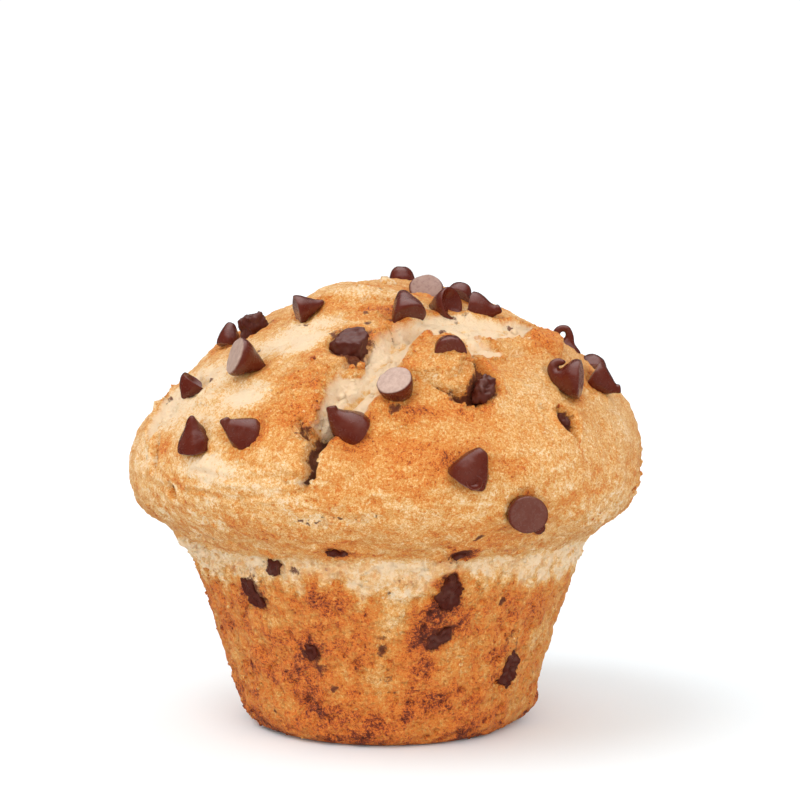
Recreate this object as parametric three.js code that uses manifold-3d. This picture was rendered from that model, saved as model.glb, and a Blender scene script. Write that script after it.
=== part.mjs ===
// A chocolate-chip muffin with no paper case, standing on its flat base.
//
// Frame: millimetres, +Z up. The origin is the middle of the flat base, and the front faces -Y.
// A turn is an angle round the vertical axis in degrees, 0 at the front and 90 at +X.
//
// The crumb is one solid: a tapered cup shaped by its baking tin, and a domed crown that has risen over
// the rim and cracked open. Every chip and chunk of chocolate is a solid of its own, set in a socket that
// is cut into the crumb a little larger than the chip.

import * as THREE from 'three';
import { mergeVertices } from 'three/addons/utils/BufferGeometryUtils.js';
import Module from 'manifold-3d';

// ---------------------------------------------------------------------------------------- sizes

const CUP = {
  baseRadius: 25.3,     // flat bottom and its rounded edge
  mouthRadius: 35.6,    // where the crown starts to spill over
  height: 32.8,
  flare: 1.25,          // above 1 the wall opens faster towards the mouth
  edgeRadius: 3.2,      // rounding between wall and base
  edgeSpread: 1.6,      // the rounding grows by this towards the two sides
};

const CROWN = {
  radius: 44.8,         // at its widest
  widestZ: 46.0,
  topZ: 77.5,
  fullness: 1.71,       // 2 is an ellipse, less is more pointed
  fullnessSkew: 0.12,   // the right shoulder is fuller than the left
};

const UNDERSIDE = { power: 2.6, sharpness: 1.35 };  // how the crown curls back in to the cup's mouth

const GAP = 0.35;       // clearance between a chip and its socket

const CHIP = { radius: 3.35, height: 6.2 };         // a chip of size 1

const MESH = { columns: 48, wallRows: 5, undersideRows: 4, domeRows: 14, chipSides: 8, chunkSides: 6 };

// Broad swellings of the crust: where they are, how far they reach and how high they stand (mm).
const SWELLINGS = [
  { turn: 15, z: 64.5, reach: 5.5, lift: 1.5 },     // raised tongue of crust under the crack
  { turn: 62, z: 67.0, reach: 4.5, lift: 1.6 },     // browned knob on the right shoulder
  { turn: -28, z: 75.0, reach: 5.5, lift: 1.0 },    // ridge beside the peak
  { turn: -74, z: 69.0, reach: 6.0, lift: -1.6 },   // hollow behind the left shoulder
  { turn: 38, z: 53.0, reach: 14.0, lift: 0.7 },    // smooth right plate
  { turn: -40, z: 53.0, reach: 13.0, lift: 0.6 },   // smooth left plate
  { turn: 140, z: 62.0, reach: 11.0, lift: 1.2 },
  { turn: 205, z: 57.0, reach: 13.0, lift: 1.0 },
  { turn: 172, z: 72.0, reach: 6.0, lift: 1.2 },
  { turn: 262, z: 52.0, reach: 12.0, lift: 0.8 },
];

// Cracks where the crust has torn open: a path of [turn, z], its half width and its depth (mm).
const CRACKS = [
  { path: [[-15, 46], [-14, 50], [-16, 54], [-9, 61], [-3, 66], [8, 69.5], [32, 70], [55, 69.5]],
    halfWidth: 3.4, depth: 2.0 },
  { path: [[150, 71], [168, 66], [186, 65], [192, 57], [188, 49]], halfWidth: 3.4, depth: 2.0 },
  { path: [[238, 68], [232, 61], [240, 55]], halfWidth: 2.8, depth: 1.4 },
];

// ---------------------------------------------------------------------------------------- chocolate
//
// turn, z: the point of the crumb's skin that the piece sits at
// tip:     direction its tip points in (+X right, +Z up, -Y to the front)
// lift:    height of the middle of the piece above the skin (mm)
// size:    1 is a chip of the size above

const CHIPS = {
  chip_peak_behind:   { turn: 160, z: 76.8, tip: [-0.6, 0.2, -0.6], lift: -0.2, size: 0.85 },
  chip_peak_flat:     { turn: 38, z: 75.9, tip: [0.05, 0.7, -0.7], lift: -0.5, size: 0.92 },
  chip_peak_front:    { turn: 8, z: 73.0, tip: [-0.45, 0.55, 0.7], lift: 1.6, size: 0.98 },
  chip_peak_curl:     { turn: 31, z: 73.0, tip: [0.75, -0.3, 0.4], lift: 1.2, size: 0.85 },
  chip_peak_hidden:   { turn: 58, z: 74.8, tip: [0.4, 0.9, 0.2], lift: 0.7, size: 0.68 },
  chip_peak_side:     { turn: 51.5, z: 72.0, tip: [0.95, -0.25, -0.05], lift: 1.6, size: 0.9 },
  chip_under_flap:    { turn: 16.5, z: 66.2, tip: [-0.5, 0.4, -0.7], lift: 0.8, size: 0.8 },
  chip_front_flat:    { turn: 3.5, z: 60.6, tip: [0.25, 0.7, -0.65], lift: 0.6, size: 0.95 },
  chip_front_left:    { turn: -9.5, z: 56.0, tip: [-0.62, -0.4, 0.68], lift: 1.6, size: 1.08 },
  chip_front_right:   { turn: 17, z: 48.2, tip: [0.12, -0.7, -0.6], lift: 1.4, size: 1.0 },
  chip_low_right:     { turn: 30, z: 42.4, tip: [-0.3, 0.9, 0.3], lift: 0.0, size: 1.0 },
  chip_left_middle:   { turn: -33.5, z: 54.0, tip: [-0.65, -0.45, 0.6], lift: 1.4, size: 1.0 },
  chip_left_upright:  { turn: -45, z: 52.8, tip: [-0.1, -0.3, 0.95], lift: 1.5, size: 0.95 },
  chip_left_edge:     { turn: -59, z: 58.8, tip: [-0.55, -0.2, -0.8], lift: 1.6, size: 0.85 },
  chip_left_lying:    { turn: -40, z: 63.8, tip: [0.82, 0.4, -0.3], lift: 1.7, size: 1.0 },
  chip_left_horizon:  { turn: -85, z: 68.0, tip: [0.1, 0.25, 0.96], lift: 1.6, size: 0.85 },
  chip_left_top:      { turn: -38, z: 72.4, tip: [0.88, 0.15, 0.38], lift: 1.8, size: 0.82 },
  chip_right_horizon: { turn: 80, z: 67.6, tip: [-0.1, 0.1, 0.97], lift: 0.8, size: 0.85 },
  chip_right_lying:   { turn: 49, z: 61.4, tip: [-0.9, 0.15, 0.35], lift: 1.6, size: 1.0 },
  chip_right_hidden:  { turn: 84, z: 63.0, tip: [0.3, 0.8, -0.3], lift: 0.2, size: 0.8 },
  chip_right_edge:    { turn: 68, z: 59.8, tip: [0.85, 0.1, -0.45], lift: 1.6, size: 0.92 },
};

// The side turned away from the front carries chips like the rest, leaning every which way.
const BACK_CHIPS = [
  [122, 66], [128, 54], [147, 47], [141, 62], [161, 57], [170, 44], [179, 52], [196, 67],
  [203, 59], [212, 48], [226, 66], [238, 57], [234, 45], [184, 61], [164, 71],
];

// Chunks of chocolate that show at the surface: half width, half height and half depth (mm).
const CHUNKS = {
  chunk_crack_left:   { turn: -11.5, z: 68.6, half: [3.2, 2.7, 1.6], lift: -0.6, roll: 4 },
  chunk_crack_right:  { turn: 25, z: 60.6, half: [1.7, 2.6, 1.5], lift: -0.4, roll: -28 },
  chunk_left_top:     { turn: -68, z: 69.6, half: [2.4, 1.9, 1.9], lift: 1.0, roll: 35 },
  chunk_right_pit:    { turn: 45, z: 55.4, half: [1.1, 1.5, 1.1], lift: -0.5, roll: 15 },
  chunk_rim_left:     { turn: -12, z: 34.6, half: [1.9, 0.8, 0.9], lift: -0.4, roll: -12 },
  chunk_rim_right:    { turn: 19, z: 34.2, half: [1.9, 0.8, 0.9], lift: -0.4, roll: 40 },
  chunk_cup_square:   { turn: -31.5, z: 31.2, half: [1.6, 1.7, 1.3], lift: -0.8, roll: 4 },
  chunk_cup_smear:    { turn: -41.5, z: 26.2, half: [1.8, 3.7, 1.1], lift: -0.6, roll: 32 },
  chunk_cup_low_left: { turn: -24.5, z: 16.8, half: [1.4, 1.6, 1.1], lift: -0.6, roll: 20 },
  chunk_cup_large:    { turn: 18.5, z: 27.2, half: [2.4, 3.6, 1.5], lift: -0.8, roll: -6 },
  chunk_cup_crumbly:  { turn: 16.5, z: 19.4, half: [2.7, 1.4, 1.2], lift: -0.7, roll: 38 },
  chunk_cup_right:    { turn: 47.5, z: 12.2, half: [1.9, 3.6, 1.4], lift: -0.9, roll: -8 },
};

const BACK_CHUNKS = [[104, 22], [128, 28], [166, 15], [196, 27], [228, 12], [256, 24], [150, 34], [215, 34]];

// ---------------------------------------------------------------------------------------- crumb

const radians = THREE.MathUtils.degToRad;

function wallRadius(z, turn) {
  const wall = CUP.baseRadius + (CUP.mouthRadius - CUP.baseRadius) * (z / CUP.height) ** CUP.flare;
  const edge = CUP.edgeRadius + CUP.edgeSpread * Math.sin(radians(turn)) ** 2;
  const below = Math.max(0, 1 - z / edge);
  return wall - edge * (1 - Math.sqrt(1 - below * below));
}

function undersideRadius(z) {
  const down = (CROWN.widestZ - z) / (CROWN.widestZ - CUP.height);
  const spread = (1 - down ** UNDERSIDE.power) ** UNDERSIDE.sharpness;
  return CUP.mouthRadius + (CROWN.radius - CUP.mouthRadius) * spread;
}

const fullness = (turn) => CROWN.fullness + CROWN.fullnessSkew * Math.sin(radians(turn));

function domeRadius(z, turn) {
  const up = Math.min(1, (z - CROWN.widestZ) / (CROWN.topZ - CROWN.widestZ));
  const power = fullness(turn);
  return CROWN.radius * (1 - up ** power) ** (1 / power);
}

function outlineRadius(z, turn) {
  if (z < CUP.height) return wallRadius(z, turn);
  return z < CROWN.widestZ ? undersideRadius(z) : domeRadius(z, turn);
}

function outlinePoint(turn, z) {
  const radius = outlineRadius(z, turn);
  return new THREE.Vector3(radius * Math.sin(radians(turn)), -radius * Math.cos(radians(turn)), z);
}

// How far the skin stands above the plain outline near a point of it.
function relief(point) {
  let lift = 0;
  for (const { turn, z, reach, lift: height } of SWELLINGS) {
    const away = point.distanceTo(outlinePoint(turn, z)) / reach;
    lift += height * Math.exp(-away * away);
  }
  for (const { path, halfWidth, depth } of CRACKS) {
    const corners = path.map(([turn, z]) => outlinePoint(turn, z));
    let nearest = Infinity;
    const onPath = new THREE.Vector3();
    for (let i = 1; i < corners.length; i += 1) {
      new THREE.Line3(corners[i - 1], corners[i]).closestPointToPoint(point, true, onPath);
      nearest = Math.min(nearest, onPath.distanceTo(point));
    }
    lift -= depth * Math.exp(-((nearest / halfWidth) ** 2));
  }
  return lift;
}

function outlineNormal(turn, z) {
  const step = 0.05;
  const low = Math.max(z - step, 0);
  const high = Math.min(z + step, CROWN.topZ - 0.001);
  const slope = (outlineRadius(high, turn) - outlineRadius(low, turn)) / (high - low);
  const flat = new THREE.Vector3(Math.sin(radians(turn)), -Math.cos(radians(turn)), -slope);
  return flat.normalize();
}

function skinPoint(turn, z) {
  const point = outlinePoint(turn, z);
  return point.addScaledVector(outlineNormal(turn, z), z > CUP.height ? relief(point) : 0);
}

// Heights of the rings of vertices from the base edge to just below the peak.
function ringHeights() {
  const heights = [0, 0.1, 0.35, 0.8].map((part) => part * CUP.edgeRadius);
  for (let row = 1; row <= MESH.wallRows; row += 1) {
    heights.push(CUP.edgeRadius + (CUP.height - CUP.edgeRadius) * row / MESH.wallRows);
  }
  for (let row = 1; row < MESH.undersideRows; row += 1) {
    heights.push(CUP.height + (CROWN.widestZ - CUP.height) * (row / MESH.undersideRows) ** 1.2);
  }
  for (let row = 0; row < MESH.domeRows; row += 1) {
    const climb = Math.sin(row / MESH.domeRows * Math.PI / 2) ** (2 / CROWN.fullness);
    heights.push(CROWN.widestZ + (CROWN.topZ - CROWN.widestZ) * climb);
  }
  return heights;
}

// Closes a stack of rings of points with a fan at each end, faces outwards.
function closedStack(rings, bottom, top) {
  const sides = rings[0].length;
  const points = [bottom, ...rings.flat(), top];
  const last = points.length - 1;
  const at = (ring, side) => 1 + ring * sides + (side % sides);
  const faces = [];
  for (let side = 0; side < sides; side += 1) {
    faces.push(0, at(0, side + 1), at(0, side));
    for (let ring = 1; ring < rings.length; ring += 1) {
      faces.push(at(ring - 1, side), at(ring - 1, side + 1), at(ring, side + 1));
      faces.push(at(ring - 1, side), at(ring, side + 1), at(ring, side));
    }
    faces.push(last, at(rings.length - 1, side), at(rings.length - 1, side + 1));
  }
  const geometry = new THREE.BufferGeometry().setFromPoints(points);
  geometry.setIndex(faces);
  return geometry;
}

function crumbGeometry() {
  const rings = ringHeights().map((z) => Array.from({ length: MESH.columns }, (_, column) =>
    skinPoint(column * 360 / MESH.columns, z)));
  const peak = new THREE.Vector3(0, 0, CROWN.topZ);
  peak.z += relief(peak);
  return closedStack(rings, new THREE.Vector3(0, 0, 0), peak);
}

// ---------------------------------------------------------------------------------------- chips

// Rings of a chip from its flat back to its curled tip: [part of the height, part of the radius].
const CHIP_OUTLINE = [[0, 0.9], [0.12, 1], [0.42, 0.76], [0.76, 0.3]];
const TIP_CURL = 0.16;   // the tip leans sideways by this part of the height

// A chip round +Z with its flat back below, grown by `grow` on every side.
function chipGeometry(size, grow) {
  const radius = CHIP.radius * size;
  const height = CHIP.height * size;
  const rings = CHIP_OUTLINE.map(([up, out]) => Array.from({ length: MESH.chipSides }, (_, side) => {
    const angle = side / MESH.chipSides * 2 * Math.PI;
    const reach = (out * radius + grow) / Math.cos(grow > 0 ? Math.PI / MESH.chipSides : 0);
    const lean = TIP_CURL * height * up ** 3;
    return new THREE.Vector3(reach * Math.cos(angle) + lean, reach * Math.sin(angle),
      up * height - height / 2 + (up === 0 ? -grow : 0));
  }));
  const tip = new THREE.Vector3(TIP_CURL * height, 0, height / 2 + 2 * grow);
  return closedStack(rings, new THREE.Vector3(0, 0, -height / 2 - grow), tip);
}

// An uneven block with six sides round +Z: thick in the middle, smaller at its two faces.
function chunkGeometry([halfWidth, halfHeight, halfDepth], grow) {
  const levels = [[-1, 0.72], [-0.35, 1.0], [0.55, 0.96], [1, 0.78]];
  const rings = levels.map(([up, out], level) => Array.from({ length: MESH.chunkSides }, (_, side) => {
    const angle = (side + 0.25 * Math.sin(2.3 * side + 1.0)) / MESH.chunkSides * 2 * Math.PI;
    const uneven = out * (1 + 0.1 * Math.sin(1.7 * side + 2.1 * level));
    return new THREE.Vector3((halfWidth * uneven + grow * 1.2) * Math.cos(angle),
      (halfHeight * uneven + grow * 1.2) * Math.sin(angle), up * (halfDepth + grow));
  }));
  const end = halfDepth + grow;
  return closedStack(rings, new THREE.Vector3(0, 0, -end), new THREE.Vector3(0, 0, end));
}

// Where a chip stands: its middle over the skin, its +Z along the tip's direction.
function chipPlace({ turn, z, tip, lift }) {
  const middle = skinPoint(turn, z).addScaledVector(outlineNormal(turn, z), lift);
  const spin = new THREE.Quaternion().setFromUnitVectors(
    new THREE.Vector3(0, 0, 1), new THREE.Vector3(...tip).normalize());
  return new THREE.Matrix4().compose(middle, spin, new THREE.Vector3(1, 1, 1));
}

// A chunk lies flat in the skin: its +Z out of the crumb, +X level, turned by roll round +Z.
function chunkPlace({ turn, z, lift, roll }) {
  const out = outlineNormal(turn, z);
  const level = new THREE.Vector3(Math.cos(radians(turn)), Math.sin(radians(turn)), 0);
  const up = out.clone().cross(level);
  const middle = skinPoint(turn, z).addScaledVector(out, lift);
  return new THREE.Matrix4().makeBasis(level, up, out).setPosition(middle)
    .multiply(new THREE.Matrix4().makeRotationZ(radians(roll)));
}

function backChips() {
  return Object.fromEntries(BACK_CHIPS.map(([turn, z], index) => {
    const lean = index * 137.5;
    const tip = [Math.cos(radians(lean)), Math.sin(radians(lean)), 0.9 * Math.sin(1.9 * index)];
    return [`chip_back_${index + 1}`, { turn, z, tip, lift: 0.9, size: 0.92 + 0.04 * (index % 4) }];
  }));
}

function backChunks() {
  return Object.fromEntries(BACK_CHUNKS.map(([turn, z], index) => {
    const half = [1.5 + 0.25 * (index % 4), 1.8 + 0.35 * ((index * 2) % 5), 1.3];
    return [`chunk_back_${index + 1}`, { turn, z, half, lift: -0.7, roll: index * 50 }];
  }));
}

// ---------------------------------------------------------------------------------------- solids

const wasm = await Module();
wasm.setup();

function toSolid(geometry) {
  const bare = mergeVertices(geometry.clone(), 1e-4);
  return new wasm.Manifold(new wasm.Mesh({
    numProp: 3,
    vertProperties: new Float32Array(bare.attributes.position.array),
    triVerts: new Uint32Array(bare.index.array),
  }));
}

function toGeometry(solid) {
  const { vertProperties, triVerts } = solid.getMesh();
  const geometry = new THREE.BufferGeometry();
  geometry.setAttribute('position', new THREE.BufferAttribute(vertProperties, 3));
  geometry.setIndex(new THREE.BufferAttribute(triVerts, 1));
  geometry.computeVertexNormals();
  return geometry;
}

const BAKED_CRUMB = { color: 0xd9974f, roughness: 0.85, metalness: 0 };
const CHOCOLATE = { color: 0x4a231a, roughness: 0.4, metalness: 0 };

function namedMesh(name, geometry, finish) {
  const mesh = new THREE.Mesh(geometry, new THREE.MeshStandardMaterial(finish));
  mesh.name = name;
  return mesh;
}

const muffin = new THREE.Group();
let crumb = toSolid(crumbGeometry());

function setIn(name, place, makeShape) {
  const mesh = namedMesh(name, makeShape(0), CHOCOLATE);
  mesh.applyMatrix4(place);
  muffin.add(mesh);
  crumb = crumb.subtract(toSolid(makeShape(GAP).applyMatrix4(place)));
}

for (const [name, chip] of Object.entries({ ...CHIPS, ...backChips() })) {
  setIn(name, chipPlace(chip), (grow) => chipGeometry(chip.size, grow));
}
for (const [name, chunk] of Object.entries({ ...CHUNKS, ...backChunks() })) {
  setIn(name, chunkPlace(chunk), (grow) => chunkGeometry(chunk.half, grow));
}
muffin.add(namedMesh('muffin', toGeometry(crumb), BAKED_CRUMB));

export default muffin;
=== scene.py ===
# A chocolate-chip muffin with no paper case, standing on a pale floor.
#
# Frame: metres, +Z up, the origin in the middle of the flat base, the front facing -Y.
# A turn is an angle round the vertical axis in degrees, 0 at the front and 90 at +X. Heights, widths and
# depths of the muffin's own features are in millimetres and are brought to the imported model's size by MM.

import itertools
import math

import bpy
import numpy as np
from bpy.props import FloatProperty, FloatVectorProperty, IntProperty, PointerProperty
from mathutils import Matrix, Vector
from mathutils.kdtree import KDTree


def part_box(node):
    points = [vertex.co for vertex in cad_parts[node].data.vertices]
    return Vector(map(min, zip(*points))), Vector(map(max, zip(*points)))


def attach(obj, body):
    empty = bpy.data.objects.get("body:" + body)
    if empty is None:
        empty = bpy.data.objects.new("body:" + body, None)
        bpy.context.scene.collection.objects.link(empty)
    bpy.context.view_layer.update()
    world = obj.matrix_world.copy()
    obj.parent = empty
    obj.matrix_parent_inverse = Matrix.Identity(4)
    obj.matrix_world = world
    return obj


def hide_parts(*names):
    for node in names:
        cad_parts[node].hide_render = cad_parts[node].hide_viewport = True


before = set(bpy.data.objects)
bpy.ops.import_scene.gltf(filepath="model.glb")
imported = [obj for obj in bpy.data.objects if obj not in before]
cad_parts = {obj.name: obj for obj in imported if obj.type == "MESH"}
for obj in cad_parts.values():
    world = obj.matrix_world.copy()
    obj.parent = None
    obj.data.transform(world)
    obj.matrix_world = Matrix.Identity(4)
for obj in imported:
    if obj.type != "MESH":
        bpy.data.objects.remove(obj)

bl_info = {
    "name": "Chocolate Chip Muffin",
    "version": (1, 0, 0),
    "blender": (4, 5, 0),
    "location": "View3D > Sidebar > Muffin",
    "description": "Bakes the looks of a chocolate-chip muffin around its packed model",
    "category": "Add Mesh",
}

TOP_MM = 77.5                                   # height of the crown's peak in its own features' units
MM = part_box("muffin")[1].z / TOP_MM             # one of those millimetres, in metres of the frame
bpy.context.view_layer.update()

# ------------------------------------------------------------------------------------ sizes and colours


def length(name, description, default_mm, **limits):
    """A length property, given in the muffin's own millimetres."""
    return FloatProperty(name=name, description=description, default=default_mm * MM, unit="LENGTH",
                         precision=5, **limits)


def colour(name, description, red, green, blue):
    """A colour property, given as it looks on a screen (0-255) and kept as linear light."""
    linear = [c / 12.92 if c <= 0.04045 else ((c + 0.055) / 1.055) ** 2.4
              for c in (red / 255, green / 255, blue / 255)]
    return FloatVectorProperty(name=name, description=description, subtype="COLOR", size=3,
                               min=0, max=1, default=linear)


class MuffinDough(bpy.types.PropertyGroup):
    base_radius: length("Base radius", "Radius of the cup at its flat bottom, before it is rounded", 25.3)
    mouth_radius: length("Mouth radius", "Radius of the cup where the crown starts to spill over", 35.6)
    cup_height: length("Cup height", "Height of the cup up to the crown", 32.8)
    edge_radius: length("Edge rounding", "Rounding between the cup's wall and its bottom", 3.2)
    edge_spread: length("Edge spread", "How much more the edge is rounded at the two sides", 1.6)
    crown_radius: length("Crown radius", "Radius of the crown at its widest", 44.8)
    widest_height: length("Widest height", "Height at which the crown is widest", 46.0)
    top_height: length("Top height", "Height of the peak", TOP_MM)
    grid: length("Grid", "Size of a face of the finished crust", 0.46)
    crumbs: IntProperty(name="Crumbs", description="How many small crumbs stick to the crust", default=2000,
                        min=0, max=2400)


class MuffinChocolate(bpy.types.PropertyGroup):
    dent: length("Dents", "Depth of the soft dents in a chip", 0.10)
    ruggedness: length("Ruggedness", "How far a broken chunk's faces stand in and out", 0.45)


class MuffinColours(bpy.types.PropertyGroup):
    cream: colour("Cream", "Palest crust and fresh crumb", 250, 219, 181)
    straw: colour("Straw", "Lightly baked crust", 243, 197, 135)
    golden: colour("Golden", "Evenly baked crust", 228, 163, 84)
    amber: colour("Amber", "Crust baked to amber", 221, 139, 57)
    orange: colour("Orange brown", "Crust against the tin", 222, 114, 31)
    russet: colour("Russet", "Dark crust at edges", 180, 80, 32)
    # Burnt is also the colour of the painted shade in the cracks.
    burnt: colour("Burnt", "Darkest crust and rubbed chocolate", 100, 42, 25)
    chocolate: colour("Chocolate", "Dark chocolate", 84, 26, 12)
    broken: colour("Broken chocolate", "The rough faces of a broken chunk", 72, 24, 13)
    # Pale flat backs of chips: partly bloom, partly a painted highlight where a back faces up into the light.
    bloom_and_highlight: colour("Bloom", "Pale bloom on a chip's flat back", 180, 152, 137)
    floor: colour("Floor", "The pale floor", 240, 246, 249)


class MuffinStage(bpy.types.PropertyGroup):
    key_strength: FloatProperty(name="Key light", description="Strength of the large soft light overhead",
                                default=1.02, min=0)
    fill_strength: FloatProperty(name="Fill light", description="Strength of the broad light low in front",
                                 default=1.36, min=0)
    key_spread: FloatProperty(name="Key spread", description="How large the soft light looks from the muffin",
                              default=math.radians(42), subtype="ANGLE")
    sky: FloatProperty(name="Surrounding light", description="Strength of the white surroundings",
                       default=1.06, min=0)
    camera_distance: FloatProperty(name="Camera distance", description="From the muffin's axis to the camera",
                                   default=0.400, unit="LENGTH")
    camera_height: FloatProperty(name="Camera height", description="Height of the camera over the floor",
                                 default=0.088, unit="LENGTH")
    camera_aside: FloatProperty(name="Camera aside", description="How far the camera stands to the right",
                                default=0.0025, unit="LENGTH")
    camera_pitch: FloatProperty(name="Camera pitch", description="How far the camera looks down",
                                default=math.radians(4.5), subtype="ANGLE")
    lens: FloatProperty(name="Lens", description="Focal length in millimetres", default=102.6, min=10)


# ------------------------------------------------------------------------------------ shape of the crumb

FLARE = 1.25                      # above 1 the cup's wall opens faster towards its mouth
UNDERSIDE = (2.6, 1.35)           # power and sharpness of the curl under the crown
FULLNESS, FULLNESS_SKEW = 1.71, 0.12

# Broad swellings of the crust: turn, height, reach, lift.
SWELLINGS = [
    (15, 64.5, 5.5, 1.5), (62, 67.0, 4.5, 1.6), (-28, 75.0, 5.5, 1.0), (-74, 69.0, 6.0, -1.6),
    (24.5, 66.8, 2.2, -1.0), (38, 53.0, 14.0, 0.7), (-40, 53.0, 13.0, 0.6), (140, 62.0, 11.0, 1.2),
    (205, 57.0, 13.0, 1.0), (172, 72.0, 6.0, 1.2), (262, 52.0, 12.0, 0.8), (-90, 58.0, 6.0, -2.4),
    (-70, 56.5, 4.0, -0.7), (90, 72.0, 3.6, -2.6), (90, 68.0, 5.0, -1.3), (-100, 75.6, 4.5, 1.2),
    (-60, 74.6, 4.0, 0.5), (-88, 37.5, 4.5, 0.8), (90, 37.5, 4.5, 0.8), (-86, 33.0, 3.0, 1.2),
    (82, 3.0, 4.0, 0.6), (92, 43.5, 3.6, -0.8), (92, 53.0, 5.0, 0.6), (91, 71.6, 4.6, -2.0),
    (-88, 24.0, 4.5, -0.8),
]

# Places where the crust has torn open and fresh crumb shows: corners of (turn, height, half width),
# then how deep the tear is and how fibrous.
TEARS = {
    "front_valley": ([(-13.5, 52, 0.8), (-12.5, 56, 2.2), (-9, 60, 3.8), (-5, 64, 4.2), (0, 67.2, 3.4),
                      (8, 69.8, 2.4)], 1.9, 0.60),
    "right_slope": ([(14, 70.2, 2.2), (24, 70.6, 3.2), (36, 70.0, 3.2), (50, 69.6, 2.4), (60, 69.2, 1.4)],
                    1.0, 0.12),
    "right_slope_low": ([(21, 68.6, 2.2), (27, 67.2, 2.8), (33, 66.6, 1.8)], 0.4, 0.12),
    "left_edge": ([(-78, 58, 1.2), (-72, 55, 1.8), (-66, 52, 1.2)], 1.0, 0.3),
    "back_long": ([(150, 71, 1.6), (160, 68.5, 3.0), (172, 66, 3.6), (186, 64, 3.4), (192, 57, 2.6),
                   (189, 50, 0.8)], 1.9, 0.5),
    "back_short": ([(243, 69, 1.0), (237, 65, 2.6), (233, 61, 3.0), (236, 56.5, 1.8),
                    (241, 53, 0.6)], 1.5, 0.5),
    "back_side": ([(108, 60, 0.8), (114, 57, 2.0), (118, 52, 0.8)], 1.2, 0.4),
}

# Narrow cracks, painted darker as shade where deep: corners of (turn, height, half width), then depth.
CRACKS = {
    "front_split": ([(-11.5, 55.2, 1.2), (-14.2, 53.2, 1.7), (-15.4, 50.8, 1.5), (-15.0, 48.6, 0.9),
                     (-17.0, 46.4, 0.5)], 3.0),
    "front_split_left": ([(-15.0, 52.6, 0.6), (-18.0, 54.6, 0.5), (-19.6, 56.6, 0.3)], 1.1),
    "flap_edge": ([(13.0, 61.4, 0.4), (17.0, 60.2, 0.8), (21.5, 59.4, 1.3), (26.0, 61.4, 1.5),
                   (26.5, 63.6, 1.0), (24.5, 65.4, 0.5)], 2.4),
    "right_crease": ([(22, 65.6, 0.4), (31.6, 67.4, 0.6), (39.7, 66.2, 0.7), (48, 66.2, 0.7),
                      (55.7, 65.4, 0.7), (69, 61.8, 0.4)], 0.6),
    "knob_crease": ([(50, 69.6, 0.6), (52, 67.2, 0.7), (56, 64.6, 0.5)], 0.7),
    "left_crack": ([(-62, 51.4, 0.8), (-60, 49.6, 1.1), (-58.5, 47.2, 0.8)], 1.9),
    "left_hole": ([(-51.9, 44.4, 0.8), (-51.2, 43.2, 0.9)], 2.0),
    "left_wrinkle_high": ([(-43, 47.6, 0.3), (-33, 46.6, 0.5), (-22, 47.0, 0.5), (-16, 46.0, 0.3)], 0.4),
    "left_wrinkle_low": ([(-46, 44.6, 0.3), (-36, 43.6, 0.5), (-24, 44.2, 0.4)], 0.35),
    "right_pit": ([(43.4, 56.8, 0.9), (45.2, 55.0, 1.5), (45.6, 52.8, 0.6)], 2.4),
    "lying_hole": ([(60.4, 60.2, 0.8), (60.6, 59.6, 0.8)], 1.6),
    "right_pit_up": ([(38.6, 58.0, 0.3), (41.6, 57.2, 0.5)], 0.6),
    "peak_pit": ([(3.0, 70.6, 0.7), (5.2, 69.4, 0.6)], 0.9),
    "peak_pit_left": ([(-14.0, 73.0, 0.5), (-10.0, 72.8, 0.4)], 0.5),
    "ridge_pit": ([(-2.0, 75.6, 0.5), (1.0, 75.4, 0.6)], 0.6),
    "chunk_hollow": ([(-15.0, 67.2, 2.3), (-9.5, 66.8, 2.3)], 1.7),
    "back_split": ([(189, 50, 0.8), (192, 47, 1.0), (190, 44, 0.5)], 2.0),
    "back_crease": ([(120, 68, 0.4), (132, 69.5, 0.7), (146, 70.5, 0.5)], 0.8),
    "back_left_split": ([(262, 61, 0.4), (268, 58, 0.9), (272, 54, 0.5)], 1.3),
    "back_right_hole": ([(100, 50, 0.6), (101, 48.6, 0.5)], 1.3),
    "side_split": ([(86, 50, 0.4), (90, 47, 0.7), (93, 45, 0.4)], 1.0),
}

# Raised pieces of crust: turn, height, half width, half height, roll, then how far they stand out and how
# far they have slid sideways and up.
RAISED = {
    "flap": (12.5, 65.2, 6.0, 3.8, 18, 1.6, 0.5, -0.4),
    "flap_lip": (18.0, 62.8, 3.4, 2.4, 35, 0.6, 0.5, -0.5),
    "knob": (56.5, 66.6, 3.8, 2.6, -10, 1.2, 0, 0),
    "peak_ridge": (-14.0, 74.8, 9.0, 1.8, 8, 0.8, 0, -0.4),
    "left_plate_edge": (-17.5, 65.5, 2.6, 4.0, -20, 0.5, 0.5, 0),
    "crusty_patch": (-21.5, 61.4, 3.6, 4.2, -10, 0.6, 0.4, 0),
    "split_lip_left": (-19.5, 51.0, 2.6, 3.0, 0, 0.6, 0.4, 0),
    "split_lip_right": (-10.0, 49.5, 3.4, 2.6, 20, 0.6, -0.3, 0.3),
    "left_crust_high": (-47.5, 58.8, 3.2, 1.5, 20, 0.45, 0, 0),
    "left_crust_low": (-60.5, 57.6, 2.6, 1.5, -20, 0.45, 0, 0),
    "valley_island": (-9.0, 64.4, 2.0, 1.2, 30, 0.8, 0, 0),
    "back_flap": (176, 61.0, 5.5, 3.2, 12, 1.0, 0.4, -0.6),
    "back_knob": (217, 66.0, 3.8, 2.6, 15, 0.9, 0, 0),
    "back_crust": (150, 66.0, 4.5, 2.6, 20, 0.7, 0, -0.3),
}
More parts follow.
